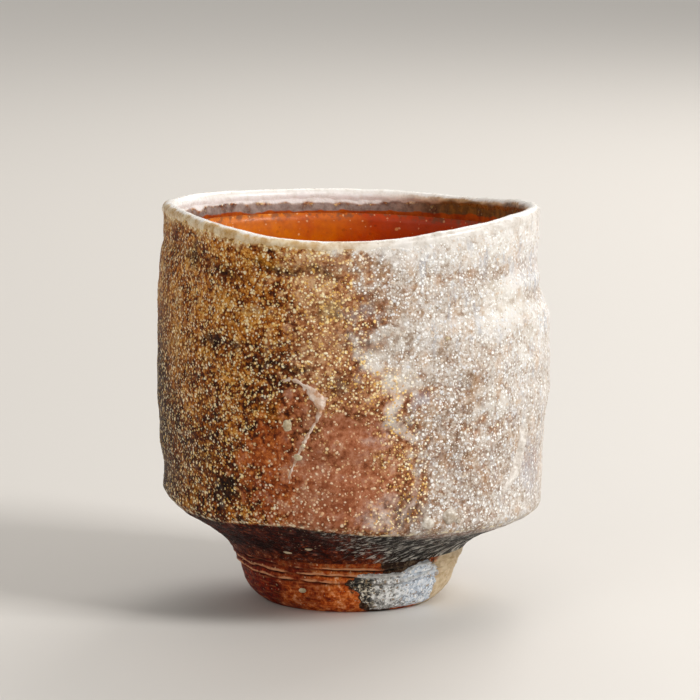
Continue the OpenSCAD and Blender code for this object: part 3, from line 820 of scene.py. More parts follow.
foot_ash = laid_mark("foot_ash_glaze_pour", *FOOT_ASH_WINDOW, foot_ash_rise, foot_surface,
                     ["foot_ash_glaze"], "foot_ash")
ash_points = places(foot_ash) / MM
ash_turn = np.degrees(np.arctan2(ash_points[:, 1] - AXIS_Y, ash_points[:, 0] - AXIS_X))
ash_ragged = grain(place(foot_r(ash_points[:, 2]), ash_points[:, 2], ash_turn), 3.0, 3, 95.0)
paint(foot_ash, "crest", [foot_ash_bead(ash_turn, ash_points[:, 2], ash_ragged), 0.0, 0.0, 1.0])


# Stones and beads: pebbles pressed into a surface

def pebble(name, centre, out, width, height, thick, lumps, seed):
    """One lump, with its thin way along out"""
    clear_selection()
    bpy.ops.mesh.primitive_ico_sphere_add(subdivisions=4, radius=1)
    piece = bpy.context.object
    piece.name = name
    unit = places(piece)
    rough = 1 + lumps * grain(unit, 0.9, 3, seed)
    out = Vector(out).normalized()
    side = Vector((0, 0, 1)).cross(out).normalized()
    up = out.cross(side)
    scaled = unit * rough[:, None] * [thick, width / 2, height / 2]
    world = scaled[:, :1] * np.array(out) + scaled[:, 1:2] * np.array(side) + scaled[:, 2:] * np.array(up)
    move_to(piece, world + centre)
    return piece


def joined(name, parts, nodes):
    clear_selection()
    for part in parts:
        part.select_set(True)
    bpy.context.view_layer.objects.active = parts[0]
    bpy.ops.object.join()
    parts[0].name = name
    settle(parts[0], nodes)
    return parts[0]


def seat(a, z, r, sink, lean=0.0):
    """Centre and outward direction of a pebble at a place on a turned surface"""
    centre = place(np.array([r - sink]), np.array([z]), np.array([a]))[0]
    turn = math.radians(a)
    return centre, (math.cos(turn) * math.cos(lean), math.sin(turn) * math.cos(lean), math.sin(lean))


# Azimuth, height, width, height of the stone
WALL_STONES = [(-108.2, 45.2, 2.0, 3.4), (-105, 38.2, 1.9, 1.7), (-103.3, 40.7, 0.95, 0.95),
               (-61, 62.8, 1.3, 1.05), (38, 54.2, 1.55, 2.1), (104, 46.8, 1.8, 1.3), (151, 59.1, 1.3, 1.55),
               (207, 39.5, 1.55, 1.15)]
FOOT_STONES = [(-115.6, 5.2, 1.9, 1.4), (96, 3.3, 1.55, 1.3)]
# Azimuth, share of the way from foot to keel, width, height of the stone
UNDER_STONES = [(-106.3, 0.36, 1.9, 1.1), (-117, 0.2, 2.4, 0.95), (64, 0.45, 1.8, 1.3)]
UNDER_LEAN = -0.85       # radians that a stone under the keel looks downwards
# Depth that each kind is pressed in, half its thickness and how lumpy it is
WALL_PRESS, UNDER_PRESS, FOOT_PRESS = (0.25, 0.62, 0.16), (0.2, 0.5, 0.16), (0.3, 0.6, 0.14)

stone_parts = []
sink, thick, lumps = WALL_PRESS
for number, (a, z, wide, tall) in enumerate(WALL_STONES):
    r = float(wall_surface(np.array([a]), np.array([z]))[0])
    centre, out = seat(a, z, r, sink)
    stone_parts.append(pebble("stone", centre, out, wide, tall, thick, lumps, 3.0 * number))
sink, thick, lumps = UNDER_PRESS
for number, (a, t, wide, tall) in enumerate(UNDER_STONES):
    r, z = mix(UNDERSIDE_R, keel_low[0], t), mix(FOOT_H, keel_low[1], t ** 0.75)
    centre, out = seat(a, z, r, sink, UNDER_LEAN)
    stone_parts.append(pebble("stone", centre, out, wide, tall, thick, lumps, 40.0 + number))
sink, thick, lumps = FOOT_PRESS
for number, (a, z, wide, tall) in enumerate(FOOT_STONES):
    r = float(foot_surface(np.array([a]), np.array([z]))[0])
    centre, out = seat(a, z, r, sink)
    stone_parts.append(pebble("stone", centre, out, wide, tall, thick, lumps, 50.0 + number))
stones = joined("feldspar_stones_melted", stone_parts, ["feldspar_stones"])

# Azimuth, height, width, height of the bead, half its thickness
BEADS = [(-59.2, 25.6, 3.5, 3.4, 1.25), (-66.6, 24.6, 3.1, 2.8, 0.95), (-56.4, 24.6, 1.3, 1.4, 0.75)]
BEAD_SINK_SHARE = 0.25
BEAD_LUMPS = 0.13
bead_parts = []
for number, (a, z, wide, tall, thick) in enumerate(BEADS):
    r = float(wall_surface(np.array([a]), np.array([z]))[0])
    centre, out = seat(a, z, r, BEAD_SINK_SHARE * thick)
    bead_parts.append(pebble("bead", centre, out, wide, tall, thick, BEAD_LUMPS, 60.0 + 2 * number))
beads = joined("ash_beads_melted", bead_parts, ["ash_beads"])


# Droplets of melted ash all over the wall, few of them on the smooth toasted clay

DROPLETS = 4500
DROPLET_SEED = 7
DROPLET_R = (0.07, 0.25)
DROPLET_FLAT = 0.55      # how far a droplet stands out, for a radius of 1
DROPLET_STRETCH = (0.8, 1.5)     # and its half height, between these
DROPLET_CUT = -0.3       # where the unit ball is cut off at the back
SMALL_POWER = 2.2        # the higher, the more of them are small
TOAST_SPARED = 0.86      # share of the droplets left out where the clay is fully toasted
chance = np.random.default_rng(DROPLET_SEED)
clear_selection()
bpy.ops.mesh.primitive_ico_sphere_add(subdivisions=1, radius=1)
droplet = bpy.context.object
droplet.name = "ash_droplets"
bpy.ops.object.mode_set(mode="EDIT")
bpy.ops.mesh.select_all(action="SELECT")
bpy.ops.mesh.bisect(plane_co=(0, 0, DROPLET_CUT), plane_no=(0, 0, 1), clear_inner=True, use_fill=True)
bpy.ops.object.mode_set(mode="OBJECT")
unit = places(droplet)
unit_faces = [tuple(p.vertices) for p in droplet.data.polygons]
drop_a = chance.uniform(-180, 180, DROPLETS)
drop_z = chance.uniform(KEEL_H + 1, LIP_Z - 3, DROPLETS)
keep = chance.random(DROPLETS) > TOAST_SPARED * patches(TOAST, drop_a, drop_z)
drop_a, drop_z = drop_a[keep], drop_z[keep]
drop_r = DROPLET_R[0] + (DROPLET_R[1] - DROPLET_R[0]) * chance.random(len(drop_a)) ** SMALL_POWER
centres = place(wall_surface(drop_a, drop_z), drop_z, drop_a)
turns = np.radians(drop_a)
outs = np.stack([np.cos(turns), np.sin(turns), np.zeros(len(turns))], axis=1)
sides = np.stack([-np.sin(turns), np.cos(turns), np.zeros(len(turns))], axis=1)
ups = np.tile([0.0, 0.0, 1.0], (len(turns), 1))
stretch = chance.uniform(*DROPLET_STRETCH, len(turns))
cloud = (centres[:, None, :]
         + drop_r[:, None, None] * (DROPLET_FLAT * unit[None, :, 2:3] * outs[:, None, :]
                                    + unit[None, :, 0:1] * sides[:, None, :]
                                    + (unit[None, :, 1:2] * stretch[:, None, None]) * ups[:, None, :]))
faces = [tuple(v + k * len(unit) for v in f) for k in range(len(drop_a)) for f in unit_faces]
droplet.data.clear_geometry()
droplet.data.from_pydata((cloud.reshape(-1, 3) * MM).tolist(), [], faces)
droplet.data.update()
clear_selection()
droplet.select_set(True)
bpy.context.view_layer.objects.active = droplet
bpy.ops.object.mode_set(mode="EDIT")
bpy.ops.mesh.select_all(action="SELECT")
bpy.ops.mesh.normals_make_consistent(inside=False)
bpy.ops.object.mode_set(mode="OBJECT")
drop_tone = np.repeat(crust(drop_a, drop_z), len(unit))
paint(droplet, "drops", [drop_tone, np.repeat(chance.random(len(drop_a)), len(unit)), 0.0, 1.0])
settle(droplet, [])


# Finishes

def tone(code):
    """A colour as the eye sees it, written as six hexadecimal digits, made linear"""
    parts = [int(code[k:k + 2], 16) / 255 for k in (0, 2, 4)]
    return tuple((p / 12.92 if p <= 0.04045 else ((p + 0.055) / 1.055) ** 2.4) for p in parts) + (1.0,)


class Finish:
    """A material whose patterns are measured in millimetres on the cup"""

    def __init__(self, name):
        self.material = bpy.data.materials.new(name)
        self.material.use_nodes = True
        self.tree = self.material.node_tree
        self.shader = self.tree.nodes["Principled BSDF"]
        scale = self.add("ShaderNodeMapping")
        scale.inputs["Scale"].default_value = (1 / MM, 1 / MM, 1 / MM)
        self.tree.links.new(self.add("ShaderNodeTexCoord").outputs["Object"], scale.inputs["Vector"])
        self.at = scale.outputs["Vector"]

    def add(self, kind):
        return self.tree.nodes.new(kind)

    def feed(self, socket, value):
        if isinstance(value, bpy.types.NodeSocket):
            self.tree.links.new(value, socket)
        else:
            socket.default_value = value

    def maths(self, operation, *values):
        made = self.add("ShaderNodeMath")
        made.operation = operation
        for socket, value in zip(made.inputs, values):
            self.feed(socket, value)
        return made.outputs[0]

    def times(self, a, b):
        return self.maths("MULTIPLY", a, b)

    def plus(self, a, b):
        return self.maths("ADD", a, b)

    def less(self, a, b):
        return self.maths("SUBTRACT", a, b)

    def ease(self, value, low, high, first=0.0, last=1.0):
        made = self.add("ShaderNodeMapRange")
        made.interpolation_type = "SMOOTHSTEP"
        for name, number in zip(("Value", "From Min", "From Max", "To Min", "To Max"),
                                (value, low, high, first, last)):
            self.feed(made.inputs[name], number)
        return made.outputs["Result"]

    def axes(self):
        """Places along the cup's X, Y and Z in millimetres"""
        split = self.add("ShaderNodeSeparateXYZ")
        self.feed(split.inputs[0], self.at)
        return split.outputs

    def noise_node(self, size, detail=4.0, rough=0.55, stretch=None, turn=None):
        """Noise with features of a size, drawn out along turned axes by the three numbers in stretch"""
        made = self.add("ShaderNodeTexNoise")
        where = self.at
        if stretch:
            drawn = self.add("ShaderNodeMapping")
            drawn.vector_type = "TEXTURE"
            drawn.inputs["Scale"].default_value = stretch
            drawn.inputs["Rotation"].default_value = turn or (0, 0, 0)
            self.feed(drawn.inputs["Vector"], where)
            where = drawn.outputs["Vector"]
        self.feed(made.inputs["Vector"], where)
        made.inputs["Scale"].default_value = 1 / size
        made.inputs["Detail"].default_value = detail
        made.inputs["Roughness"].default_value = rough
        return made

    def noise(self, *settings, **drawn):
        return self.noise_node(*settings, **drawn).outputs["Fac"]

    def grain(self, *settings, **drawn):
        """Noise spread over 0 to 1"""
        return self.ease(self.noise(*settings, **drawn), 0.3, 0.7)

    def swing(self, value, amount):
        """A value of 0 to 1 as a push to either side, over a range of the given amount"""
        return self.times(self.less(value, 0.5), amount)

    def cells(self, size, at):
        """Distance to the nearest of scattered points, and that point's random numbers"""
        made = self.add("ShaderNodeTexVoronoi")
        self.feed(made.inputs["Vector"], at)
        made.inputs["Scale"].default_value = 1 / size
        apart_numbers = self.add("ShaderNodeSeparateColor")
        self.feed(apart_numbers.inputs[0], made.outputs["Color"])
        return made.outputs["Distance"], apart_numbers.outputs

    def stirred(self, size, amount):
        """Places pushed about by noise"""
        push = self.add("ShaderNodeVectorMath")
        push.operation = "MULTIPLY_ADD"
        self.feed(push.inputs[0], self.noise_node(size, 3.0).outputs["Color"])
        push.inputs[1].default_value = (amount, amount, amount)
        self.feed(push.inputs[2], self.at)
        return push.outputs[0]

    def blend(self, share, a, b):
        made = self.add("ShaderNodeMix")
        made.data_type = "RGBA"
        self.feed(made.inputs[0], share)
        self.feed(made.inputs[6], a)
        self.feed(made.inputs[7], b)
        return made.outputs[2]

    def ramp(self, value, *stops):
        """Colours along a value, each stop a place and a tone"""
        made = self.add("ShaderNodeValToRGB")
        self.feed(made.inputs[0], value)
        elements = made.color_ramp.elements
        elements[0].position, elements[-1].position = stops[0][0], stops[-1][0]
        elements[0].color, elements[-1].color = tone(stops[0][1]), tone(stops[-1][1])
        for where, code in stops[1:-1]:
            elements.new(where).color = tone(code)
        return made.outputs[0]

    def grains(self, small, large):
        """Random numbers of small grains of two sizes that lie mixed"""
        pushed = self.stirred(0.9, 0.55)
        _, fine = self.cells(small, pushed)
        _, coarse = self.cells(large, pushed)
        which = self.ease(self.noise(1.7, 3), 0.47, 0.53)
        return [self.blend(which, f, c) for f, c in zip(fine[:3], coarse[:3])]

    def masks(self, name):
        """The four masks painted under a name"""
        read = self.add("ShaderNodeAttribute")
        read.attribute_name = name
        split = self.add("ShaderNodeSeparateColor")
        self.feed(split.inputs[0], read.outputs["Color"])
        return list(split.outputs) + [read.outputs["Alpha"]]

    def broken(self, mask, by, low, high, amount):
        """A mask whose edge follows a noise"""
        return self.ease(self.plus(mask, self.swing(by, amount)), low, high)

    def dots(self, size, crowd, least, most, at):
        """Round specks of random size; crowd is the share of cells that hold one"""
        distance, numbers = self.cells(size, at)
        radius = self.plus(self.times(numbers[0], most - least), least)
        speck = self.ease(self.maths("DIVIDE", distance, radius), 1.0, 0.55)
        return self.times(speck, self.maths("LESS_THAN", numbers[1], crowd)), numbers[2]

    def wear(self, piece, colour, roughness, height=None, gloss=0.5, coat=0.0, coat_rough=0.2):
        """Joins the patterns to the shader, with bumps in millimetres, and puts the material on a piece"""
        shader = self.shader
        shader.inputs["Specular IOR Level"].default_value = gloss
        self.feed(shader.inputs["Base Color"], colour)
        self.feed(shader.inputs["Roughness"], roughness)
        shader.inputs["Coat Weight"].default_value = coat
        shader.inputs["Coat Roughness"].default_value = coat_rough
        if height is not None:
            made = self.add("ShaderNodeBump")
            made.inputs["Strength"].default_value = 1.0
            made.inputs["Distance"].default_value = MM
            self.feed(made.inputs["Height"], height)
            self.feed(shader.inputs["Normal"], made.outputs["Normal"])
        piece.data.materials.clear()
        piece.data.materials.append(self.material)


def inside_lip(f, middling, dusky):
    """Cream inside the lip, ochre where painted shade darkens the side away from the light"""
    cream = f.blend(middling, tone("e8e5df"), tone("ffffff"))
    return f.blend(f.times(dusky, 0.85), cream, f.blend(middling, tone("9c6a1e"), tone("dcb266")))


def brown_below(f, middling, dusky):
    """The brown ring between cream and liner, darker where painted shade falls on the side away from the
    light
    """
    ring = f.blend(middling, tone("6e5c56"), tone("a89890"))
    return f.blend(f.times(dusky, 0.95), ring, f.blend(middling, tone("3c2206"), tone("8c5e18")))


def lip_crust(f, middling):
    """White ash on the fire side of the lip"""
    return f.blend(middling, tone("cbc3ba"), tone("e9e6e2"))


class ClayFinish(Finish):
    """The fired skin of the body, with the masks and the grain that its layers share"""

    def __init__(self):
        super().__init__("wood-fired clay")
        # The dark mask holds the fire's dark places and painted shade, towards the left and in the grooves
        self.ash, toast, self.dark, self.ochre = self.masks("fire")
        self.lip_band, self.cloud, self.violet, self.moss = self.masks("marks")
        self.cream_ring, self.brown_ring, self.keel_line, self.under = self.masks("edges")
        # Soot under the keel, painted shade inside the lip, the red ring, and the underside clear of the foot
        self.charcoal, self.dusky, self.red_ring, self.low_under = self.masks("soot")
        self.broad, self.middling = self.grain(9.0, 5), self.grain(2.4, 5, 0.6)
        self.fine = self.grain(0.6, 3, 0.6)
        self.patchy, self.wide = self.less(self.middling, 0.5), self.less(self.broad, 0.5)
        across, _, self.up = self.axes()
        self.pushed = self.stirred(0.7, 0.4)
        self.strokes = self.noise(0.62, 5, 0.72, stretch=(5.0, 2.0, 0.9), turn=(0, -0.45, 0))
        self.rosy = self.ease(self.plus(across, self.times(self.patchy, 7.0)), -18.0, -8.0)
        self.toasted = self.ragged(toast, 0.1, 0.75, 0.7)
        self.frosted = self.ragged(self.ash, 0.02, 0.62, 0.35)
        speckled = self.plus(self.swing(self.noise(1.0, 5, 0.68), 2.8), 0.5)
        mottle = self.plus(speckled, self.plus(self.times(self.wide, 0.34), self.times(self.patchy, 0.34)))
        self.mottle = self.plus(mottle, self.ease(self.up, 30.0, 78.0, -0.1, 0.12))

    def ragged(self, mask, low, high, amount=0.4):
        """A mask whose edge follows the grain"""
        pushed = self.times(self.times(self.patchy, amount), self.ease(mask, 0.0, 0.15))
        return self.ease(self.plus(mask, pushed), low, high)


def bare_clay(f):
    """Golden brown clay under the ash, with ochre and dark places; the dark ones include painted shade
    towards the left and in the grooves
    """
    brown = f.ramp(f.mottle, (0.0, "1e0802"), (0.3, "512006"), (0.55, "8c4610"), (0.8, "c07826"),
                   (1.0, "e0a654"))
    tan = f.ramp(f.mottle, (0.0, "5a2e16"), (0.35, "8a5434"), (0.65, "ae7c58"), (1.0, "cca884"))
    golden = f.ramp(f.mottle, (0.0, "5e2c06"), (0.35, "a2600e"), (0.7, "d38e2a"), (1.0, "ecc070"))
    black = f.ramp(f.mottle, (0.0, "0a0402"), (0.5, "221207"), (0.8, "4a2c10"), (1.0, "7a5222"))
    wall = f.blend(f.times(f.rosy, 0.8), brown, tan)
    wall = f.blend(f.times(f.ragged(f.ochre, 0.25, 0.95), 0.85), wall, golden)
    return f.blend(f.times(f.ragged(f.dark, 0.2, 0.95), 0.9), wall, black)


def toasted_clay(f):
    """Smooth toasted clay, redder on the left of the flap"""
    red_brown = f.ramp(f.mottle, (0.0, "5a2008"), (0.4, "9e4a1c"), (0.75, "c46e34"), (1.0, "de9858"))
    pink_brown = f.ramp(f.mottle, (0.0, "86482c"), (0.45, "a66646"), (0.8, "b98062"), (1.0, "ca9a7c"))
    return f.blend(f.rosy, red_brown, pink_brown)


def white_crust(f):
    """White ash crust, with tan and blue-grey in it"""
    powder = f.plus(f.swing(f.noise(0.75, 4, 0.6), 1.7), f.times(f.patchy, 0.16))
    level = f.plus(f.plus(powder, f.times(f.wide, 0.14)), f.plus(0.5, f.times(f.less(f.ash, 0.66), 0.8)))
    frost = f.ramp(level, (0.0, "6c5440"), (0.25, "958270"), (0.5, "bdb0a4"), (0.75, "d4d0cb"),
                   (1.0, "e6e7e8"))
    tanned = f.ease(f.noise(4.0, 4, 0.6, stretch=(1, 1, 1.7)), 0.5, 0.66)
    frost = f.blend(f.times(tanned, 0.3), frost, tone("cfa478"))
    blued = f.ease(f.noise(3.2, 5, 0.65, stretch=(0.6, 0.6, 2.4)), 0.52, 0.64)
    frost = f.blend(f.times(blued, f.ease(f.ash, 0.4, 0.9, 0.12, 0.6)), frost, tone("a6aab6"))
    smooth_white = f.ease(f.noise(7.0, 4, 0.6), 0.5, 0.64)
    return f.blend(f.times(smooth_white, f.ease(f.ash, 0.5, 0.95, 0.0, 0.7)), frost, tone("e6e3e1"))


def fire_marks(f, wall):
    """Pale clouds, moss green places and violet ones"""
    cloudy = f.blend(f.middling, tone("cdc5b8"), tone("ebe8e2"))
    wall = f.blend(f.times(f.ragged(f.cloud, 0.15, 0.95), 0.7), wall, cloudy)
    wall = f.blend(f.times(f.ragged(f.moss, 0.2, 0.95), 0.4), wall, tone("857c50"))
    return f.blend(f.times(f.ragged(f.violet, 0.2, 0.95), 0.5), wall, tone("8d8692"))


def pale_lip(f):
    """The band outside the lip, pale where the ash ran down from it"""
    pale = f.ramp(f.mottle, (0.0, "8a5418"), (0.4, "c09252"), (0.7, "e0c290"), (1.0, "f2e4c6"))
    return f.blend(f.frosted, pale, lip_crust(f, f.middling))


def speck_crowd(f):
    """The share of specks that are there: fewer on toasted clay, in clouds, dark places and at the lip"""
    low_wall = f.ease(f.plus(f.up, f.times(f.patchy, 9.0)), 44.0, 25.0)
    open_clay = f.times(f.toasted, f.less(0.72, f.times(low_wall, 0.42)))
    crowd = f.plus(f.less(0.86, open_clay), f.plus(f.times(f.patchy, 0.6), f.times(f.wide, 0.3)))
    covered = f.plus(f.times(f.lip_band, 0.5), f.times(f.cloud, 0.4))
    crowd = f.times(crowd, f.less(1.0, f.times(covered, 0.45)))
    return f.times(crowd, f.less(1.0, f.times(f.ease(f.dark, 0.1, 0.9), 0.5)))


def ash_specks(f, wall):
    """Specks of melted ash in three sizes, with brown pepper in the crust: colour, specks and bumps"""
    crowd = speck_crowd(f)
    small, small_hue = f.dots(0.6, crowd, 0.26, 0.66, f.pushed)
    medium, medium_hue = f.dots(1.0, f.times(crowd, 0.62), 0.2, 0.52, f.pushed)
    large, _ = f.dots(2.2, f.times(crowd, 0.24), 0.1, 0.28, f.pushed)
    speck = f.maths("MAXIMUM", f.times(small, 0.85), f.maths("MAXIMUM", medium, f.times(large, 0.95)))
    cream = f.ramp(small_hue, (0.0, "c8903c"), (0.3, "eec474"), (0.6, "fde6ae"), (1.0, "fff6da"))
    dusty = f.ramp(small_hue, (0.0, "b87c50"), (0.5, "e2b890"), (1.0, "f8e8cc"))
    icy = f.ramp(medium_hue, (0.0, "cdb79f"), (0.3, "dfe0e4"), (0.6, "f6f3ef"), (1.0, "ffffff"))
    speck_tone = f.blend(f.ease(f.frosted, 0.1, 0.8), f.blend(f.toasted, cream, dusty), icy)
    wall = f.blend(speck, wall, speck_tone)
    pepper, _ = f.dots(0.75, f.times(f.frosted, 0.4), 0.12, 0.34, f.stirred(1.1, 0.5))
    wall = f.blend(f.times(pepper, f.ease(f.ash, 0.4, 1.0, 0.75, 0.3)), wall, tone("7c6250"))
    bumps = f.plus(f.times(small, 0.04), f.plus(f.times(medium, 0.08), f.times(large, 0.2)))
    return wall, speck, bumps


def underside_clay(f):
    """Maroon on the left, torn low down, and sooty on the right, all a little darker as painted shade under
    the keel
    """
    red = f.ramp(f.mottle, (0.0, "120202"), (0.45, "380c04"), (0.75, "6e2008"), (1.0, "b4663e"))
    torn = f.ramp(f.mottle, (0.0, "380e04"), (0.4, "6c260c"), (0.7, "9c4a20"), (1.0, "dca07c"))
    red = f.blend(f.times(f.less(1.0, f.low_under), 0.85), red, torn)
    sooty = f.ramp(f.strokes, (0.42, "040303"), (0.49, "1c1815"), (0.53, "6e6860"), (0.6, "e2ddd2"))
    sooty = f.blend(f.times(f.ease(f.broad, 0.55, 0.15), 0.4), sooty, tone("1c1816"))
    soot_share = f.plus(f.charcoal, f.swing(f.strokes, 2.2))
    clay = f.blend(f.ease(soot_share, 0.2, 0.8), red, sooty)
    grit, _ = f.dots(0.85, 0.34, 0.1, 0.3, f.pushed)
    return f.blend(f.times(grit, 0.75), clay, tone("d4b494"))


def inside_rings(f, colour):
    """Inside the lip: cream, then a brown ring, then red down to the liner, with painted shade on the side
    away from the light
    """
    colour = f.blend(f.ragged(f.cream_ring, 0.1, 0.9), colour, inside_lip(f, f.middling, f.dusky))
    brown_share = f.ease(f.plus(f.brown_ring, f.times(f.patchy, 0.7)), 0.1, 1.0)
    colour = f.blend(brown_share, colour, brown_below(f, f.middling, f.dusky))
    red_share = f.ease(f.plus(f.red_ring, f.times(f.patchy, 0.5)), 0.3, 0.8)
    return f.blend(red_share, colour, f.blend(f.middling, tone("8a2e04"), tone("b4560e")))


def fired_clay():
    f = ClayFinish()
    wall = f.blend(f.toasted, bare_clay(f), toasted_clay(f))
    wall = fire_marks(f, f.blend(f.frosted, wall, white_crust(f)))
    wall = f.blend(f.ragged(f.lip_band, 0.1, 1.0, 0.9), wall, pale_lip(f))
    wall, speck, bumps = ash_specks(f, wall)
    colour = inside_rings(f, f.blend(f.under, wall, underside_clay(f)))
    keel_share = f.times(f.keel_line, f.ease(f.noise(1.6, 5, 0.7), 0.5, 0.58))
    colour = f.blend(f.times(keel_share, 0.95), colour, tone("f2e6c6"))

    inside = f.maths("MINIMUM", f.plus(f.cream_ring, f.brown_ring), 1.0)
    outer = f.maths("MAXIMUM", f.less(1.0, f.plus(f.under, inside)), 0.0)
    height = f.plus(f.times(bumps, outer), f.times(f.fine, 0.03))
    height = f.plus(height, f.times(f.times(f.frosted, f.middling), 0.06))
    height = f.plus(height, f.times(f.times(f.under, f.ease(f.strokes, 0.45, 0.6)), 0.26))
    rough = f.less(f.ease(f.fine, 0.0, 1.0, 0.46, 0.62), f.times(f.times(speck, outer), 0.16))
    f.wear(body, colour, rough, height, gloss=0.1)


def lip_finish():
    f = Finish("lip glaze")
    # The fourth mask is painted shade inside the lip
    white, fire, inner, dusky = f.masks("lip")
    brown, _, _, _ = f.masks("lip_brown")
    middling, fine = f.grain(2.4, 5, 0.6), f.grain(0.6, 3)
    outside = f.blend(middling, tone("c49a5c"), tone("f0e0c0"))
    thin = f.blend(fire, outside, lip_crust(f, middling))
    thin = f.blend(inner, thin, inside_lip(f, middling, dusky))
    full = f.blend(middling, tone("e0dad2"), tone("f4f2ef"))
    colour = f.blend(f.broken(white, middling, 0.2, 0.9, 0.5), thin, full)
    brown_share = f.ease(f.plus(brown, f.swing(middling, 0.7)), 0.1, 1.0)
    colour = f.blend(brown_share, colour, brown_below(f, middling, dusky))
    pits, _ = f.dots(1.1, 0.3, 0.08, 0.22, f.stirred(0.8, 0.4))
    colour = f.blend(f.times(pits, 0.45), colour, tone("8f7a6c"))
    rough = f.ease(fine, 0, 1, 0.24, 0.4)
    f.wear(lip_glaze, colour, rough, f.times(middling, 0.05), gloss=0.35, coat=0.12, coat_rough=0.15)


def liner_finish():
    f = Finish("liner glaze")
    edge, high, _, _ = f.masks("pool")
    broad, middling = f.grain(7.0, 4), f.grain(1.8, 5, 0.6)
    across, _, _ = f.axes()
    shaded = f.ease(f.plus(across, f.swing(broad, 14.0)), -24.0, 10.0)
    colour = f.blend(shaded, tone("d8760a"), tone("b63c00"))
    colour = f.blend(f.times(middling, 0.35), colour, tone("942f02"))
    colour = f.blend(f.times(f.less(1.0, high), 0.4), colour, tone("7e2c04"))
    specks, _ = f.dots(2.6, 0.35, 0.05, 0.2, f.stirred(1.0, 0.6))
    colour = f.blend(f.times(specks, 0.7), colour, tone("e0a868"))
    stains, _ = f.dots(1.5, 0.4, 0.1, 0.4, f.stirred(1.0, 0.6))
    colour = f.blend(f.times(stains, 0.3), colour, tone("5a1c08"))
    colour = f.blend(f.times(f.broken(edge, middling, 0.8, 1.15, 0.5), 0.8), colour, tone("7a4c30"))
    bits, _ = f.dots(0.9, f.times(edge, 0.5), 0.12, 0.4, f.stirred(0.8, 0.5))
    colour = f.blend(f.times(bits, 0.7), colour, tone("e2b282"))
    rough = f.plus(f.ease(middling, 0, 1, 0.24, 0.36), f.times(edge, 0.3))
    f.wear(liner, colour, rough, f.times(broad, 0.06), gloss=0.3, coat=0.08, coat_rough=0.15)


def foot_finish():
    f = Finish("bare foot clay")
    tan, soot, hollow, high = f.masks("clay")
    crests, cuts, _, _ = f.masks("lines")
    broad, middling, fine = f.grain(6.0, 5), f.grain(1.6, 5, 0.62), f.grain(0.5, 3)
    scraped = f.grain(1.3, 5, 0.68, stretch=(3.3, 3.3, 0.42))
    across, _, _ = f.axes()
    lit = f.ease(f.plus(across, f.swing(broad, 10.0)), -17.0, -4.0)
    mottle = f.plus(f.plus(0.5, f.swing(f.noise(1.1, 5, 0.7), 2.4)), f.swing(middling, 0.4))
    red = f.ramp(mottle, (0.0, "2c0401"), (0.4, "600f02"), (0.75, "8c2204"), (1.0, "c05020"))
    orange = f.ramp(mottle, (0.0, "661802"), (0.4, "c65010"), (0.7, "f08c42"), (1.0, "ffd4aa"))
    colour = f.blend(lit, red, orange)
    colour = f.blend(f.times(f.ease(scraped, 0.6, 0.95), 0.35), colour, tone("d88850"))
    colour = f.blend(f.times(high, f.ease(middling, 0.1, 0.9, 0.3, 0.7)), colour, tone("4c1408"))
    # Painted shade in the cuts of the scored lines
    colour = f.blend(f.times(cuts, 0.85), colour, tone("2c0a04"))
    torn = f.ease(f.times(crests, f.plus(middling, 0.5)), 0.25, 0.9)
    colour = f.blend(f.times(torn, 0.85), colour, tone("e0a074"))
    bare = f.blend(middling, tone("c6ab84"), tone("e4d2b4"))
    colour = f.blend(tan, colour, bare)
    under = f.blend(middling, tone("9c6238"), tone("b98254"))
    colour = f.blend(f.times(hollow, 0.7), colour, under)
    pale, _ = f.dots(0.9, 0.4, 0.08, 0.3, f.stirred(0.8, 0.5))
    colour = f.blend(f.times(pale, 0.6), colour, tone("e6c39b"))
    black, _ = f.dots(1.6, 0.3, 0.05, 0.2, f.stirred(0.8, 0.5))
    colour = f.blend(f.times(black, 0.6), colour, tone("35140c"))
    sooty = f.blend(f.ease(f.noise(0.9, 5, 0.7), 0.5, 0.62), tone("15110e"), tone("6b5c48"))
    colour = f.blend(f.times(f.broken(soot, middling, 0.35, 0.7, 0.7), 0.95), colour, sooty)
    height = f.plus(f.times(scraped, 0.12), f.times(fine, 0.03))
    f.wear(foot, colour, f.ease(fine, 0, 1, 0.45, 0.62), height, gloss=0.12)


def foot_ash_finish():
    f = Finish("foot ash glaze")
    middling, fine = f.grain(1.5, 5, 0.65), f.grain(0.5, 3)
    number, hue, _ = f.grains(0.42, 0.7)
    across, _, _ = f.axes()
    across = f.plus(across, f.swing(middling, 4.0))
    level = f.plus(number, f.swing(middling, 0.4))
    dotted = f.ramp(level, (0.0, "0b0a09"), (0.4, "25211c"), (0.58, "7a7060"),
                    (0.74, "d8ceb4"), (1.0, "f8f4ea"))
    greyed = f.ramp(level, (0.0, "706e6a"), (0.3, "b4b4b1"), (0.6, "e0e0df"),
                    (0.8, "f8f8f7"), (1.0, "ffffff"))
    bluish = f.ramp(level, (0.0, "828a98"), (0.3, "bac6d6"), (0.6, "dce6f2"),
                    (0.85, "f4f8fe"), (1.0, "ffffff"))
    colour = f.blend(f.ease(across, 3.0, 6.5), dotted, greyed)
    colour = f.blend(f.ease(across, 8.0, 13.0), colour, bluish)
    colour = f.blend(f.times(f.ease(hue, 0.12, 0.05), 0.7), colour, tone("9a7a4a"))
    crest, _, _, _ = f.masks("crest")
    colour = f.blend(f.times(crest, 0.85), colour, f.blend(middling, tone("c9c9c6"), tone("fbfbfa")))
    f.wear(foot_ash, colour, f.ease(fine, 0, 1, 0.24, 0.44), f.times(level, 0.14), coat=0.25, coat_rough=0.12)


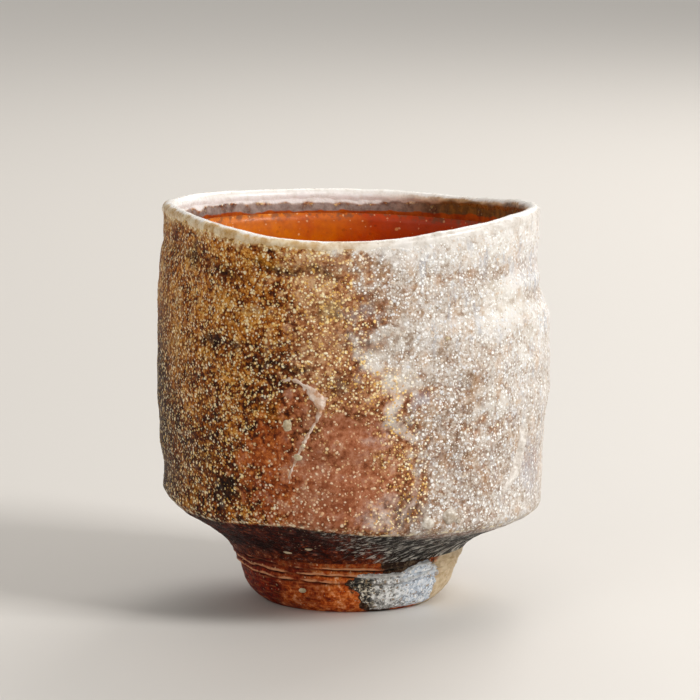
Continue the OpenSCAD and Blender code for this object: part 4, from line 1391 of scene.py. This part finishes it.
def pale_finish(piece, name, low, high, rough, coat, size=1.2):
    f = Finish(name)
    middling, fine = f.grain(size, 5, 0.6), f.grain(0.4, 3)
    colour = f.blend(middling, tone(low), tone(high))
    f.wear(piece, colour, f.ease(fine, 0, 1, rough, rough + 0.16), f.times(middling, 0.08), coat=coat,
           coat_rough=0.12)


def droplet_finish():
    f = Finish("melted ash droplets")
    ash, number, _, _ = f.masks("drops")
    colour = f.blend(number, tone("d2b980"), tone("e3cfa2"))
    colour = f.blend(f.ease(ash, 0.1, 0.6), colour, tone("e9e2d8"))
    colour = f.blend(f.times(f.grain(0.5, 3), 0.35), colour, tone("a98a62"))
    f.wear(droplet, colour, 0.2, coat=0.4, coat_rough=0.1)


fired_clay()
lip_finish()
liner_finish()
foot_finish()
foot_ash_finish()
pale_finish(stones, "melted feldspar", "9c8460", "ddcfae", 0.28, 0.25)
pale_finish(beads, "melted ash bead", "a2927e", "dfd8ce", 0.2, 0.4)
pale_finish(flap, "torn clay", "b4845f", "ece0d4", 0.34, 0.06, 2.0)
pale_finish(run, "white ash crust", "b5a89c", "eae5df", 0.24, 0.3)
droplet_finish()


# Floor and soft studio light

bpy.ops.mesh.primitive_plane_add(size=30)
floor = bpy.context.object
floor.name = "floor"
floor_finish = bpy.data.materials.new("pale floor")
floor_finish.use_nodes = True
floor_shader = floor_finish.node_tree.nodes["Principled BSDF"]
floor_shader.inputs["Base Color"].default_value = tone("cfccc8")
floor_shader.inputs["Roughness"].default_value = 0.6
floor.data.materials.append(floor_finish)

CUP_MIDDLE = (0, 0, 0.045)
FLOOR_BEHIND = (0, 2.6, 0)
# Name, place in metres, aim, size, watts, colour
LAMPS = [("key light", (0.85, -0.45, 0.75), CUP_MIDDLE, 0.4, 12.2, "fffdfa"),
         ("fill light", (-0.9, -0.8, 0.5), CUP_MIDDLE, 0.9, 2.6, "fffaf4"),
         ("back light", (0.4, 0.85, 0.7), CUP_MIDDLE, 0.6, 6.0, "fffaf4"),
         ("backdrop light", (0, 2.6, 2.2), FLOOR_BEHIND, 2.0, 20.0, "fffdfa")]
for name, spot, aim, size, watts, hue in LAMPS:
    lamp_data = bpy.data.lights.new(name, "AREA")
    lamp_data.size = size
    lamp_data.energy = watts
    lamp_data.color = tone(hue)[:3]
    lamp = bpy.data.objects.new(name, lamp_data)
    lamp.location = spot
    lamp.rotation_euler = (Vector(aim) - Vector(spot)).to_track_quat("-Z", "Y").to_euler()
    bpy.context.collection.objects.link(lamp)

world = bpy.data.worlds.new("studio")
bpy.context.scene.world = world
world.use_nodes = True
sky = world.node_tree.nodes["Background"]
sky.inputs["Color"].default_value = tone("eae6e0")
sky.inputs["Strength"].default_value = 0.45
bpy.context.scene.view_settings.view_transform = "Standard"
